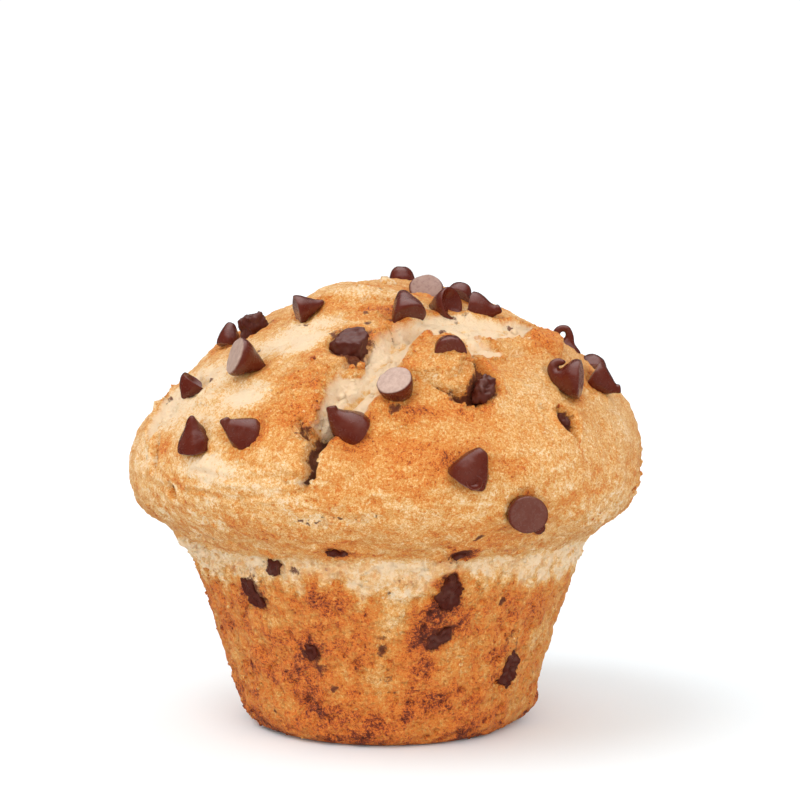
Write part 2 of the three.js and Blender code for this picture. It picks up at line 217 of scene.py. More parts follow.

# Lighter (-) and darker (+) baking: turn, height, half width, half height, roll, toast. The lighter patches
# under the crown, about 38 to 41 mm up, are painted light that makes up for the shade there.
BAKING_AND_PAINTED_LIGHT = [
    (-53, 56, 15, 9, 0, -0.14), (-38, 48.2, 6.0, 2.2, 0, -0.24), (-35, 59, 4.5, 3.6, 0, -0.26),
    (-27, 68.2, 4.4, 2.6, 0, -0.16), (-36, 67.6, 5.0, 2.6, 0, -0.22), (-52, 63.5, 7.0, 3.2, 0, -0.20),
    (-28, 71.5, 6.0, 2.0, 0, -0.20), (-66, 59, 5.0, 5.0, 0, -0.20), (-64, 47, 7.0, 4.0, 0, -0.10),
    (-30, 46.0, 12, 3.0, 0, -0.10), (-44, 55.0, 4.0, 2.0, 0, -0.12), (-48, 58.6, 3.0, 1.5, 20, 0.08),
    (-60, 57.6, 2.6, 1.8, -20, 0.06), (-22, 62.0, 4.0, 4.2, 0, 0.14), (-20.5, 66.0, 3.4, 1.6, 0, 0.10),
    (-19, 56.5, 3.4, 3.0, 0, 0.18), (-25, 57.5, 3.0, 2.6, 0, 0.08), (-2.0, 73.4, 6.0, 1.4, 0, 0.24),
    (-12, 71.8, 5.0, 1.2, 0, 0.20), (-24, 74.6, 6.0, 1.2, 0, -0.12), (6.0, 76.4, 4.0, 0.8, 0, 0.16),
    (7.0, 50.0, 9.0, 4.0, 4, 0.17), (0.5, 46.0, 8.0, 2.0, 0, 0.14), (-4.0, 52.4, 5.5, 3.0, 0, 0.14),
    (3.5, 57.4, 5.0, 1.8, 0, 0.18), (13.0, 58.0, 5.5, 2.0, 8, 0.20), (22, 57.0, 3.0, 2.0, 0, 0.08),
    (-8.0, 44.0, 8.0, 2.4, 0, 0.06), (57, 66.4, 4.6, 3.0, -10, 0.22), (30, 64.0, 2.4, 1.8, 0, 0.16),
    (33.5, 71.0, 7.5, 2.0, 0, -0.26), (26.0, 70.0, 5.0, 1.8, 0, -0.24), (29.0, 73.6, 6.0, 1.6, 0, -0.22),
    (42, 68.0, 6.0, 1.6, 0, -0.08), (66, 50, 9, 8, 0, -0.03), (34, 51, 6.0, 5.0, 0, -0.03),
    (20, 44.5, 9.0, 2.2, 0, -0.04), (-10, 37.6, 12, 2.6, 0, 0.04), (30, 38.0, 12, 2.6, 0, 0.05),
    (45.5, 50.6, 1.0, 2.2, 0, 0.24), (26.5, 48.4, 2.0, 2.0, 0, 0.18), (50, 38, 14, 2.6, 0, -0.06),
    (150, 60, 12, 8, 0, -0.14), (200, 50, 12, 6, 0, 0.10), (230, 58, 9, 8, 0, -0.16),
    (110, 56, 10, 7, 0, 0.04), (265, 60, 9, 7, 0, -0.14), (172, 68, 6, 3, 0, 0.18),
    (188, 46, 9, 3, 0, 0.14), (118, 44, 11, 3, 0, 0.10), (250, 46, 12, 3, 0, 0.10),
    (18.6, 29.5, 3.6, 5.6, 0, 0.30), (20.5, 34.5, 2.6, 1.8, 30, 0.26), (16.5, 22, 5.0, 4.0, 30, 0.18),
    (-24, 16.4, 4, 4, 0, 0.14), (47.5, 13, 4, 5, 0, 0.14), (-40, 27, 4.0, 5.0, 25, 0.12),
    (-6, 8, 16, 4, 0, 0.05), (3.5, 29.6, 3.6, 2.0, 0, 0.22), (60, 12, 7, 8, 0, -0.12),
    (-62, 14, 6, 8, 0, -0.10), (33, 22, 5, 4, 0, -0.06), (-18, 27, 4, 3, 0, 0.10), (9, 16, 5, 4, 0, 0.08),
    (-19.5, 68.0, 2.6, 2.0, 0, 0.08), (-33, 69.5, 8, 3.0, 0, -0.12), (-35, 59, 4.5, 3.0, 0, -0.12),
    (-54, 60, 9, 4, 0, -0.10), (1.0, 53.5, 7.0, 3.6, 0, 0.10), (28, 73.0, 6.0, 2.0, 0, -0.12),
    (-56, 38, 14, 3, 0, -0.06), (60, 40, 12, 3, 0, -0.06), (-68, 54, 7, 6, 0, -0.14),
    (-33, 70.0, 7, 3, 0, -0.14), (-36, 60, 4, 3, 0, -0.10), (-45, 66, 8, 3.4, 0, -0.10),
    (-26, 66.4, 2.6, 1.6, 0, 0.12), (30, 71.0, 7, 2.2, 0, -0.12), (-8, 74.6, 7, 1.4, 0, -0.08),
    (45, 60, 10, 4, 0, -0.05), (-44, 49.6, 5, 2.4, 0, -0.06), (-64, 58, 9, 5, 0, -0.12),
    (-40, 67, 10, 5, 0, -0.08), (40, 70, 8, 3, 0, -0.06), (-20, 75.4, 8, 1.4, 0, -0.06),
    (-26, 66.4, 3.4, 1.4, 0, 0.10), (40, 62, 8, 4, 0, -0.03), (-62, 62, 6, 3, 0, -0.10),
    (-6, 75.0, 9.0, 1.6, 0, -0.10), (35, 71.5, 9, 2.4, 0, -0.08), (-40, 69, 10, 3, 0, -0.06),
    (-70, 57, 6, 4, 0, -0.10), (-58, 60, 8, 6, 0, -0.14), (-38, 58, 5, 4, 0, -0.08),
    (-34, 68, 8, 4, 0, -0.10), (-50, 41, 14, 4, 0, -0.08), (60, 41, 10, 3.4, 0, -0.06),
    (0, 40, 16, 3, 0, -0.04), (34, 71, 9, 3, 0, -0.08), (3, 72, 7, 2.4, 0, -0.06),
    (-38, 50, 6, 3, 0, -0.08), (-59, 50.6, 3.4, 2.4, -30, 0.34), (0, 35, 40, 1.6, 0, 0.05),
]

# Patches where the crust is rough and crumbly: turn, height, half width, half height, roll.
ROUGH = [
    (-21.5, 62.0, 4.6, 5.2, -10), (-19.0, 55.5, 4.0, 3.2, 0), (3.0, 56.0, 6.0, 2.4, 10),
    (13.0, 65.0, 6.5, 4.4, 18), (20.0, 58.6, 4.0, 2.0, 0), (-10.0, 72.6, 8.0, 2.4, 5),
    (-48.0, 58.6, 4.0, 2.4, 20), (-61.0, 57.0, 4.0, 3.0, 0), (-8, 75.2, 9.0, 1.6, 0),
    (-66, 39.5, 9.0, 2.6, 0), (58, 39.0, 9.0, 3.0, 0), (80, 43.0, 7.0, 5.0, 0), (-27, 56.5, 3.0, 3.0, 0),
    (176, 61, 7, 4.4, 12), (150, 66, 6, 3.6, 20), (236, 60, 6, 5, 0), (116, 57, 5, 5, 0),
]

# Patches of open, speckled crumb on the crust: turn, height, half width, half height, roll.
BARE = [
    (-13.5, 40.6, 5.0, 1.7, 4), (-5.0, 41.2, 3.0, 1.0, 0), (34.6, 34.6, 3.4, 1.3, 8),
    (-19.0, 55.0, 1.6, 2.2, 0), (-52, 35.5, 6.0, 1.2, 0), (150, 38, 6.0, 1.6, 0), (214, 40, 5.0, 1.8, 0),
    (96, 37, 5.0, 1.6, 0),
]

# Melted chocolate rubbed into the crumb: turn, height, half width, half height, roll, strength.
SMEARS = [
    (-24.4, 30.6, 1.6, 0.9, 0, 0.75), (-17.5, 10.8, 1.0, 1.2, 0, 0.9), (37.0, 25.0, 0.8, 0.7, 0, 1.0),
    (-31.5, 31.2, 2.4, 2.4, 0, 0.55), (-41.0, 26.6, 2.6, 4.4, 32, 0.75), (-24.0, 16.4, 2.2, 2.6, 15, 0.8),
    (-21.6, 14.0, 1.3, 1.4, 0, 0.6), (18.6, 27.4, 3.3, 4.6, -6, 0.7), (17.0, 19.6, 4.2, 2.3, 38, 0.85),
    (47.5, 12.2, 2.7, 4.4, -8, 0.5), (19.0, 34.4, 2.6, 1.2, 40, 0.8), (21.5, 37.4, 1.6, 0.6, 10, 0.8),
    (3.5, 29.6, 2.6, 1.6, 0, 0.28), (8.0, 29.6, 1.8, 1.2, 0, 0.3), (-1.5, 17.5, 1.2, 1.4, 0, 0.7),
    (0.5, 12.2, 1.6, 1.0, 0, 0.55), (-0.5, 20.0, 1.1, 0.8, 0, 0.6), (2.5, 9.5, 1.4, 0.7, 0, 0.5),
    (-9.0, 14.0, 0.7, 0.6, 0, 0.7), (-11.5, 68.6, 4.6, 3.9, 0, 0.7), (-7.5, 71.2, 1.0, 0.6, 10, 0.8),
    (3.2, 71.4, 1.2, 1.4, 0, 0.9), (-9.6, 72.4, 0.9, 0.6, 0, 0.8), (0.0, 75.4, 1.3, 0.8, 0, 0.8),
    (3.2, 58.4, 1.6, 1.6, 0, 0.75), (54.0, 69.9, 1.1, 0.9, 0, 0.9), (24.5, 60.8, 3.2, 3.8, -28, 0.85),
    (18.0, 59.8, 3.2, 0.9, 14, 0.75), (-12.0, 53.8, 1.6, 0.9, 0, 0.8), (-16.8, 54.6, 1.6, 1.0, 0, 0.6),
    (-72.0, 57.5, 1.2, 0.9, 0, 0.7), (-64.0, 49.0, 0.8, 0.8, 0, 0.7), (45.0, 55.2, 1.9, 2.0, 15, 0.95),
    (43.4, 57.8, 0.5, 0.5, 0, 0.8), (19.2, 33.6, 3.6, 1.6, 30, 0.42), (16.0, 22.6, 4.4, 4.0, 0, 0.45),
    (46.0, 17.0, 3.0, 3.6, 0, 0.40), (-23.0, 17.0, 3.6, 3.6, 0, 0.42), (-39.0, 28.0, 3.6, 4.6, 25, 0.40),
    (22.0, 69.8, 0.9, 0.9, 0, 0.6), (23.0, 67.6, 1.4, 0.6, 30, 0.5), (12.3, 76.4, 0.9, 0.6, 0, 0.8),
    (-28.5, 64.5, 0.7, 0.5, 0, 0.4), (-46.0, 66.5, 1.4, 0.5, 20, 0.7), (-49.0, 64.8, 0.9, 0.5, 0, 0.8),
    (-56.0, 61.2, 0.8, 0.8, 0, 0.8), (20.4, 45.5, 0.8, 0.4, 0, 0.8), (28.8, 46.8, 0.5, 0.4, 0, 0.7),
    (60.5, 59.9, 0.9, 0.9, 0, 0.98), (30.4, 71.6, 1.4, 0.7, 0, 0.55), (37.5, 71.8, 1.2, 0.6, 0, 0.6),
    (-12.4, 34.6, 2.2, 1.0, -12, 0.5), (-11.0, 41.6, 1.3, 0.6, 0, 0.5), (-16.6, 39.8, 1.4, 0.5, 0, 0.4),
    (-36.0, 70.2, 1.2, 0.5, 10, 0.75), (104, 22, 2.8, 3.2, 0, 0.7), (128, 28, 3.0, 3.6, 20, 0.7),
    (166, 15, 3.0, 3.6, 0, 0.7), (196, 27, 3.0, 3.8, 0, 0.7), (228, 12, 2.6, 3.0, 0, 0.7),
    (256, 24, 2.8, 3.8, 0, 0.7), (150, 34, 3.0, 2.0, 0, 0.5), (215, 34, 3.0, 2.0, 0, 0.5),
    (181, 23, 1.6, 1.2, 0, 0.7), (112, 12, 1.4, 1.6, 0, 0.7), (242, 19, 1.2, 1.4, 0, 0.7),
    (275, 14, 1.5, 1.2, 0, 0.6), (82, 20, 1.2, 1.6, 0, 0.7), (148, 8, 1.2, 1.0, 0, 0.6),
    (207, 8, 1.4, 0.9, 0, 0.6),
]


# The skin, in millimetres where it is a length. In the calls of noise, lumps and cells further on, the number
# after the size is the seed.
RAGGED = 0.75                     # how far the edges of tears and patches stray
STRETCH = 0.8                     # how far the strands of a tear are drawn out along it: 1 is without end
LIP_HEIGHT = 0.45                 # how far the crust stands up round a tear
PORE_DEPTH, FINE_PORE_DEPTH = 0.60, 0.28
BAND_HEIGHT = 29.0                # where the pale band under the crown starts
CRUST_TOAST, CUP_TOAST = 0.40, 0.71     # how far the crown and the cup are baked: 0 is pale, 1 is burnt
HALO_DARKENING = 0.27                 # how much darker the crust is round a chip
OUTLINE_SIZES = ("base_radius", "mouth_radius", "cup_height", "edge_radius", "edge_spread", "crown_radius",
                 "widest_height", "top_height")


def outline_radius(height, turn, dough):
    """Radius of the plain form, in millimetres, at heights and turns (arrays, mm and degrees)."""
    mm = {key: getattr(dough, key) / MM for key in OUTLINE_SIZES}
    side = np.sin(np.radians(turn))
    wall = mm["base_radius"] + (mm["mouth_radius"] - mm["base_radius"]) * (
        np.clip(height / mm["cup_height"], 0, 1) ** FLARE)
    edge = mm["edge_radius"] + mm["edge_spread"] * side ** 2
    below = np.clip(1 - height / edge, 0, 1)
    wall = wall - edge * (1 - np.sqrt(1 - below ** 2))
    down = np.clip((mm["widest_height"] - height) / (mm["widest_height"] - mm["cup_height"]), 0, 1)
    curl = (1 - down ** UNDERSIDE[0]) ** UNDERSIDE[1]
    under = mm["mouth_radius"] + (mm["crown_radius"] - mm["mouth_radius"]) * curl
    up = np.clip((height - mm["widest_height"]) / (mm["top_height"] - mm["widest_height"]), 0, 1)
    power = FULLNESS + FULLNESS_SKEW * side
    dome = mm["crown_radius"] * (1 - up ** power) ** (1 / power)
    return np.where(height < mm["cup_height"], wall, np.where(height < mm["widest_height"], under, dome))


def spot_axes(turn, height, dough):
    """A point of the plain form and its level, upward and outward directions, in millimetres."""
    step = 0.05
    low, high = max(height - step, 0), min(height + step, TOP_MM - 0.001)
    radius = float(outline_radius(np.array(height), turn, dough))
    slope = float(outline_radius(np.array(high), turn, dough) - outline_radius(np.array(low), turn, dough))
    angle = math.radians(turn)
    out = Vector((math.sin(angle), -math.cos(angle), -slope / (high - low))).normalized()
    level = Vector((math.cos(angle), math.sin(angle), 0))
    point = Vector((radius * math.sin(angle), -radius * math.cos(angle), height))
    return tuple(np.array(v) for v in (point, level, out.cross(level), out))


# ------------------------------------------------------------------------------------ noise and masks


def smooth_step(low, high, value):
    """0 up to `low`, 1 from `high` on and smooth between them; `low` may be the larger one."""
    part = np.clip((value - low) / (high - low), 0, 1)
    return part * part * (3 - 2 * part)


def lattice_mix(cell, seed):
    """Whole numbers that look random, one for each cell of a lattice."""
    mixed = (cell[:, 0] * 73856093) ^ (cell[:, 1] * 19349663) ^ (cell[:, 2] * 83492791) ^ (seed * 2654435)
    mixed = ((mixed ^ (mixed >> 13)) * 1274126177) & 0x7FFFFFFF
    return mixed ^ (mixed >> 15)


def noise(points, size, seed=0):
    """Smooth noise from about -1 to 1 whose lumps are about `size` across, which may differ by axis."""
    place = points / size + 19.7 * seed
    cell = np.floor(place).astype(np.int64)
    part = place - cell
    blend = part ** 3 * (part * (part * 6 - 15) + 10)
    total = np.zeros(len(points))
    for corner in itertools.product((0, 1), repeat=3):
        mixed = lattice_mix(cell + corner, seed)
        away = part - corner
        weight = np.prod(np.where(corner, blend, 1 - blend), axis=1)
        for axis in range(3):
            total += weight * away[:, axis] * (((mixed >> (10 * axis)) & 1023) / 511.5 - 1)
    return 1.6 * total


def lumps(points, size, seed=0, layers=3):
    """Noise with finer noise on top."""
    return sum(noise(points, size / 2.1 ** i, seed + i) / 1.9 ** i for i in range(layers))


def cells(points, size, seed=0):
    """Distance to the nearest of many scattered points, as a part of their spacing: 0 at a point."""
    place = points / size
    cell = np.floor(place).astype(np.int64)
    nearest = np.full(len(points), 9.0)
    for corner in itertools.product((-1, 0, 1), repeat=3):
        near = cell + corner
        mixed = lattice_mix(near, seed)
        jitter = np.stack([((mixed >> (10 * axis)) & 1023) / 1023 for axis in range(3)], axis=1)
        nearest = np.minimum(nearest, ((near + jitter - place) ** 2).sum(1))
    return np.sqrt(nearest)


def path_distance(points, path, dough):
    """Distance to a path of (turn, height, half width) corners as a part of its half width: 1 at its edge."""
    best = np.full(len(points), 99.0)
    for (turn_a, z_a, wide_a), (turn_b, z_b, wide_b) in zip(path, path[1:]):
        a, b = spot_axes(turn_a, z_a, dough)[0], spot_axes(turn_b, z_b, dough)[0]
        along = np.clip((points - a) @ (b - a) / ((b - a) @ (b - a)), 0, 1)
        away = np.linalg.norm(points - a - along[:, None] * (b - a), axis=1)
        best = np.minimum(best, away / (wide_a + along * (wide_b - wide_a)))
    return best


def patch_distance(points, turn, height, wide, tall, roll, dough):
    """Distance to the middle of an oval patch of the skin as a part of its size: 1 at its edge."""
    middle, level, up, out = spot_axes(turn, height, dough)
    turned = math.radians(roll)
    across = (points - middle) @ (level * math.cos(turned) + up * math.sin(turned))
    along = (points - middle) @ (up * math.cos(turned) - level * math.sin(turned))
    depth = (points - middle) @ out
    return np.sqrt((across / wide) ** 2 + (along / tall) ** 2 + (depth / (3 * max(wide, tall))) ** 2)


# ------------------------------------------------------------------------------------ working by hand


def put_down_everything():
    if bpy.context.object and bpy.context.object.mode != "OBJECT":
        bpy.ops.object.mode_set(mode="OBJECT")
    bpy.ops.object.select_all(action="DESELECT")


def pick_up(piece):
    put_down_everything()
    piece.select_set(True)
    bpy.context.view_layer.objects.active = piece


def apply_modifier(piece, kind, **settings):
    """Adds a modifier with these settings and applies it."""
    pick_up(piece)
    modifier = piece.modifiers.new(kind.title(), kind)
    for key, value in settings.items():
        setattr(modifier, key, value)
    bpy.ops.object.modifier_apply(modifier=modifier.name)


def vertices_of(piece):
    flat = np.empty(len(piece.data.vertices) * 3, np.float32)
    piece.data.vertices.foreach_get("co", flat)
    return flat.reshape(-1, 3).astype(float)


def normals_of(piece):
    flat = np.empty(len(piece.data.vertices) * 3, np.float32)
    piece.data.vertices.foreach_get("normal", flat)
    return flat.reshape(-1, 3).astype(float)


def move_vertices(piece, points):
    piece.data.vertices.foreach_set("co", points.astype(np.float32).ravel())
    piece.data.update()


def paint(piece, name, values):
    """Stores one number for each vertex, which a finish can read by its name."""
    layer = piece.data.attributes.get(name) or piece.data.attributes.new(name, "FLOAT", "POINT")
    layer.data.foreach_set("value", np.asarray(values, np.float32))


def attribute_of(piece, name):
    values = np.empty(len(piece.data.vertices), np.float32)
    piece.data.attributes[name].data.foreach_get("value", values)
    return values


def finish_piece(piece, name, material, slot, *nodes):
    """Names a piece, gives it its material and ties it to the frame."""
    piece.name = name
    piece.data.name = name
    piece.data.materials.clear()
    piece.data.materials.append(material)
    pick_up(piece)
    bpy.ops.object.shade_smooth()
    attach(piece, "root")
    if nodes:
        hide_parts(*nodes)


def new_piece(name, points, faces):
    mesh = bpy.data.meshes.new(name)
    mesh.from_pydata(points, [], faces)
    mesh.update()
    piece = bpy.data.objects.new(name, mesh)
    bpy.context.scene.collection.objects.link(piece)
    return piece


def own_copy(source, name):
    """A copy of a piece or of a CAD node with a mesh of its own, at the origin and riding on nothing."""
    piece = bpy.data.objects.new(name, source.data.copy())
    bpy.context.scene.collection.objects.link(piece)
    return piece


# ------------------------------------------------------------------------------------ finishes

# Sizes of the crust's patterns, from its finest grain to its broad changes of shade, in millimetres.
GRIT, GRAIN, RUBBED_GRAIN, STRAND, PORE, MOTTLE, DRIFT = 0.24, 0.50, 0.9, 0.7, 1.1, 2.6, 9.0
GRAIN_RELIEF, PORE_RELIEF = 0.58, 0.28
# Chocolate: size of the dust and the clouds on it, and their relief, in millimetres.
DUST, CLOUD, DUST_RELIEF, CLOUD_RELIEF = 0.7, 2.4, 0.05, 0.12


class Finish:
    """A material's nodes, added one by one."""

    def __init__(self, name):
        self.material = bpy.data.materials.new(name)
        self.material.use_nodes = True
        self.nodes = self.material.node_tree.nodes
        self.shader = self.nodes["Principled BSDF"]
        self.place = self.add("ShaderNodeTexCoord").outputs["Object"]

    def add(self, kind, **settings):
        node = self.nodes.new(kind)
        for key, value in settings.items():
            setattr(node, key, value)
        return node

    def join(self, output, socket):
        self.material.node_tree.links.new(output, socket)

    def feed(self, value, socket):
        """Links a socket to an output, or sets it to a number or a colour."""
        if isinstance(value, bpy.types.NodeSocket):
            self.join(value, socket)
        elif isinstance(value, (int, float)):
            socket.default_value = value
        else:
            socket.default_value = (*value, 1.0)[:len(socket.default_value)]

    def attribute(self, name):
        return self.add("ShaderNodeAttribute", attribute_name=name).outputs["Fac"]

    def speckle(self, size, detail=2.0, roughness=0.5, stretch=(1, 1, 1), distortion=0.0):
        """Noise from 0 to 1 whose lumps are `size` across, in metres."""
        mapping = self.add("ShaderNodeMapping")
        mapping.inputs["Scale"].default_value = stretch
        self.join(self.place, mapping.inputs["Vector"])
        texture = self.add("ShaderNodeTexNoise")
        self.join(mapping.outputs["Vector"], texture.inputs["Vector"])
        texture.inputs["Scale"].default_value = 1 / size
        texture.inputs["Detail"].default_value = detail
        texture.inputs["Roughness"].default_value = roughness
        texture.inputs["Distortion"].default_value = distortion
        return texture.outputs["Fac"]

    def pores(self, size):
        """Distance to the nearest of many scattered points, in parts of `size`."""
        texture = self.add("ShaderNodeTexVoronoi", feature="F1")
        self.join(self.place, texture.inputs["Vector"])
        texture.inputs["Scale"].default_value = 1 / size
        return texture.outputs["Distance"]

    def sum(self, operation, first, second, third=None):
        node = self.add("ShaderNodeMath", operation=operation)
        self.feed(first, node.inputs[0])
        self.feed(second, node.inputs[1])
        if third is not None:
            self.feed(third, node.inputs[2])
        return node.outputs[0]

    def swing(self, value, amount, middle=0.5):
        """A value that swings round its middle, brought to swing round 0 by `amount` for each unit."""
        return self.sum("MULTIPLY_ADD", value, amount, -middle * amount)

    def between(self, value, low, high, out_low=0.0, out_high=1.0):
        node = self.add("ShaderNodeMapRange", interpolation_type="SMOOTHSTEP")
        self.join(value, node.inputs["Value"])
        for name, number in zip(("From Min", "From Max", "To Min", "To Max"), (low, high, out_low, out_high)):
            node.inputs[name].default_value = number
        return node.outputs["Result"]

    def ramp(self, value, stops):
        node = self.add("ShaderNodeValToRGB")
        self.join(value, node.inputs["Fac"])
        elements = node.color_ramp.elements
        while len(elements) < len(stops):
            elements.new(0.5)
        for element, (position, shade) in zip(elements, stops):
            element.position = position
            element.color = (*shade, 1)
        return node.outputs["Color"]

    def mix(self, amount, first, second, blend="MIX"):
        node = self.add("ShaderNodeMix", data_type="RGBA", blend_type=blend)
        self.feed(amount, node.inputs["Factor"])
        self.feed(first, node.inputs[6])
        self.feed(second, node.inputs[7])
        return node.outputs[2]

    def bump(self, height, depth, strength=1.0, under=None):
        """Relief in the shading only: `depth` is how far apart heights 0 and 1 stand, in metres."""
        node = self.add("ShaderNodeBump")
        node.inputs["Distance"].default_value = depth
        node.inputs["Strength"].default_value = strength
        self.join(height, node.inputs["Height"])
        if under is not None:
            self.join(under, node.inputs["Normal"])
        return node.outputs["Normal"]


def crust_finish():
    """Baked crust and crumb, driven by the painted amounts toast, torn, wall and cocoa; cocoa also carries
    the painted shade in the cracks.
    """
    name = "baked crust"
    if name in bpy.data.materials:
        return bpy.data.materials[name]
    shades = bpy.context.scene.muffin_colours
    made = Finish(name)
    toast, torn = made.attribute("toast"), made.attribute("torn")
    wall, cocoa_and_crack_shade = made.attribute("wall"), made.attribute("cocoa_and_crack_shade")

    grain = made.speckle(GRAIN * MM, detail=4.0, roughness=0.72)
    grit = made.speckle(GRIT * MM, detail=3.0, roughness=0.8)
    mottle = made.speckle(MOTTLE * MM, detail=3.0, roughness=0.6)
    drift = made.speckle(DRIFT * MM, detail=2.0)
    granular = made.sum("ADD", made.swing(grain, 1.45), made.swing(grit, 1.4))
    granular = made.sum("MULTIPLY", granular, made.sum("MULTIPLY_ADD", wall, -0.22, 1.0))
    level = made.sum("ADD", toast, granular)
    level = made.sum("ADD", level, made.sum("MULTIPLY", made.swing(mottle, 0.30),
                                            made.sum("MULTIPLY_ADD", wall, 0.9, 1.0)))
    level = made.sum("ADD", level, made.swing(drift, 0.16))
    baked = made.ramp(level, [
        (0.04, shades.cream), (0.22, shades.straw), (0.42, shades.golden), (0.58, shades.amber),
        (0.76, shades.orange), (0.90, shades.russet), (1.0, shades.burnt)])

    # The fibres carry painted shade in their grooves.
    strands = made.sum("ADD", made.attribute("fibre_and_shade"),
                       made.speckle(STRAND * MM, detail=4.0, roughness=0.65))
    strands = made.sum("ADD", strands, made.swing(grit, 1.3))
    fresh = made.ramp(made.sum("MULTIPLY", strands, 0.5), [
        (0.12, shades.amber), (0.26, shades.golden), (0.38, shades.straw), (0.54, shades.cream)])
    surface = made.mix(made.between(torn, 0.25, 0.75), baked, fresh)

    # Rubbed chocolate and the painted shade in the cracks darken the surface towards the burnt colour.
    rubbed = made.sum("ADD", cocoa_and_crack_shade,
                      made.swing(made.speckle(RUBBED_GRAIN * MM, detail=4.0, roughness=0.7), 1.5))
    rubbed = made.sum("MULTIPLY", made.between(rubbed, 0.36, 0.72), made.between(cocoa_and_crack_shade, 0.02, 0.2))
    surface = made.mix(made.sum("MULTIPLY", rubbed, 0.92), surface, shades.burnt)
    made.feed(surface, made.shader.inputs["Base Color"])

    made.feed(made.between(grain, 0.3, 0.7, 0.70, 0.46), made.shader.inputs["Roughness"])
    made.shader.inputs["Specular IOR Level"].default_value = 0.45
    made.shader.inputs["Subsurface Weight"].default_value = 0.12
    made.shader.inputs["Subsurface Radius"].default_value = (1.0, 0.55, 0.3)
    made.shader.inputs["Subsurface Scale"].default_value = 0.8 * MM
    fine = made.bump(made.sum("MULTIPLY_ADD", grit, 0.45, grain), GRAIN_RELIEF * MM)
    pitted = made.sum("MULTIPLY", made.between(made.pores(PORE * MM), 0.1, 0.55),
                      made.sum("MULTIPLY_ADD", wall, 0.8, 0.2))
    made.join(made.bump(pitted, PORE_RELIEF * MM, under=fine), made.shader.inputs["Normal"])
    return made.material


def chocolate_finish(name, shade, shine):
    """Chocolate of one shade and shine, pale where its flat back is marked: partly bloom, partly a painted
    highlight.
    """
    shades = bpy.context.scene.muffin_colours
    made = Finish(name)
    bloom_and_highlight = made.attribute("bloom_and_highlight")
    dust = made.speckle(DUST * MM, detail=4.0, roughness=0.65)
    cloud = made.speckle(CLOUD * MM, detail=2.0)
    pale_bloom_and_highlight = made.sum("MULTIPLY", bloom_and_highlight, made.between(dust, 0.15, 0.75, 0.55, 1.0))
    lighter = made.mix(made.between(cloud, 0.35, 0.7, 0.0, 0.03), shade, shades.bloom_and_highlight)
    made.feed(made.mix(pale_bloom_and_highlight, lighter, shades.bloom_and_highlight), made.shader.inputs["Base Color"])
    rough = made.between(dust, 0.3, 0.7, 0.52 - 0.34 * shine, 0.62 - 0.32 * shine)
    made.feed(made.sum("MULTIPLY_ADD", bloom_and_highlight, 0.12, rough), made.shader.inputs["Roughness"])
    made.shader.inputs["Specular IOR Level"].default_value = 0.32 * shine
    made.shader.inputs["Coat Weight"].default_value = 0.12 * shine
    made.shader.inputs["Coat Roughness"].default_value = 0.12
    scuffs = made.bump(dust, DUST_RELIEF * MM)
    made.join(made.bump(cloud, CLOUD_RELIEF * MM, under=scuffs), made.shader.inputs["Normal"])
    return made.material


def floor_finish():
    name = "pale floor"
    if name in bpy.data.materials:
        return bpy.data.materials[name]
    made = Finish(name)
    made.feed(bpy.context.scene.muffin_colours.floor, made.shader.inputs["Base Color"])
    made.shader.inputs["Roughness"].default_value = 0.9
    made.shader.inputs["Specular IOR Level"].default_value = 0.0
    return made.material


# ------------------------------------------------------------------------------------ the crumb

DOUGH_SIDES = 120
CUP_RINGS, UNDERSIDE_RINGS, DOME_RINGS = 22, 16, 44
MOST_TRIANGLES = 190_000          # what the finished crumb is thinned to, most where the crust is smooth


def ring_heights(dough):
    """Heights of the rings that the dough is drawn up through, in metres, closer where it curves more."""
    edge = [dough.edge_radius * (1 - math.cos(math.radians(10 * i))) for i in range(1, 9)]
    wall = np.linspace(edge[-1], dough.cup_height, CUP_RINGS + 1)[1:]
    under = np.linspace(dough.cup_height, dough.widest_height, UNDERSIDE_RINGS + 1)[1:]
    climb = np.sin(np.linspace(0, math.pi / 2, DOME_RINGS + 1)[1:-1]) ** (2 / FULLNESS)
    dome = dough.widest_height + (dough.top_height - dough.widest_height) * climb
    return [*edge, *wall, *under, *dome]


def turned_dough(dough):
    """The plain form: a disc drawn up ring by ring through the cup, the curl under the crown and the dome."""
    def radius_at(height):
        return float(outline_radius(np.array(height / MM), 0.0, dough)) * MM

    put_down_everything()
    radius = radius_at(0.0)
    bpy.ops.mesh.primitive_circle_add(vertices=DOUGH_SIDES, radius=radius, fill_type="NGON")
    piece = bpy.context.object
    bpy.ops.object.mode_set(mode="EDIT")
    height = 0.0
    for target in ring_heights(dough):
        wider = radius_at(target)
        bpy.ops.mesh.extrude_region_move(TRANSFORM_OT_translate={"value": (0, 0, target - height)})
        bpy.ops.transform.resize(value=(wider / radius, wider / radius, 1), center_override=(0, 0, target))
        radius, height = wider, target
    bpy.ops.mesh.select_all(action="SELECT")
    bpy.ops.mesh.normals_make_consistent(inside=False)
    bpy.ops.object.mode_set(mode="OBJECT")
    apply_modifier(piece, "REMESH", mode="VOXEL", voxel_size=dough.grid, use_smooth_shade=True)
    return piece


def chocolate_distance(points):
    """Distance in millimetres from each point to the nearest chip or chunk of the frame."""
    corners = []
    for name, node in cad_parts.items():
        if name != "muffin":
            mesh = node.data
            corners += [v.co for v in mesh.vertices] + [face.center for face in mesh.polygons]
    tree = KDTree(len(corners))
    for index, corner in enumerate(corners):
        tree.insert(Vector(corner) / MM, index)
    tree.balance()
    return np.array([tree.find(point)[2] for point in points])


def drawn_round(points):
    """Points tilted a little round the crown, so that noise drawn out level on them slants."""
    return points + np.stack([np.zeros(len(points)), np.zeros(len(points)), 0.16 * points[:, 0]], axis=1)


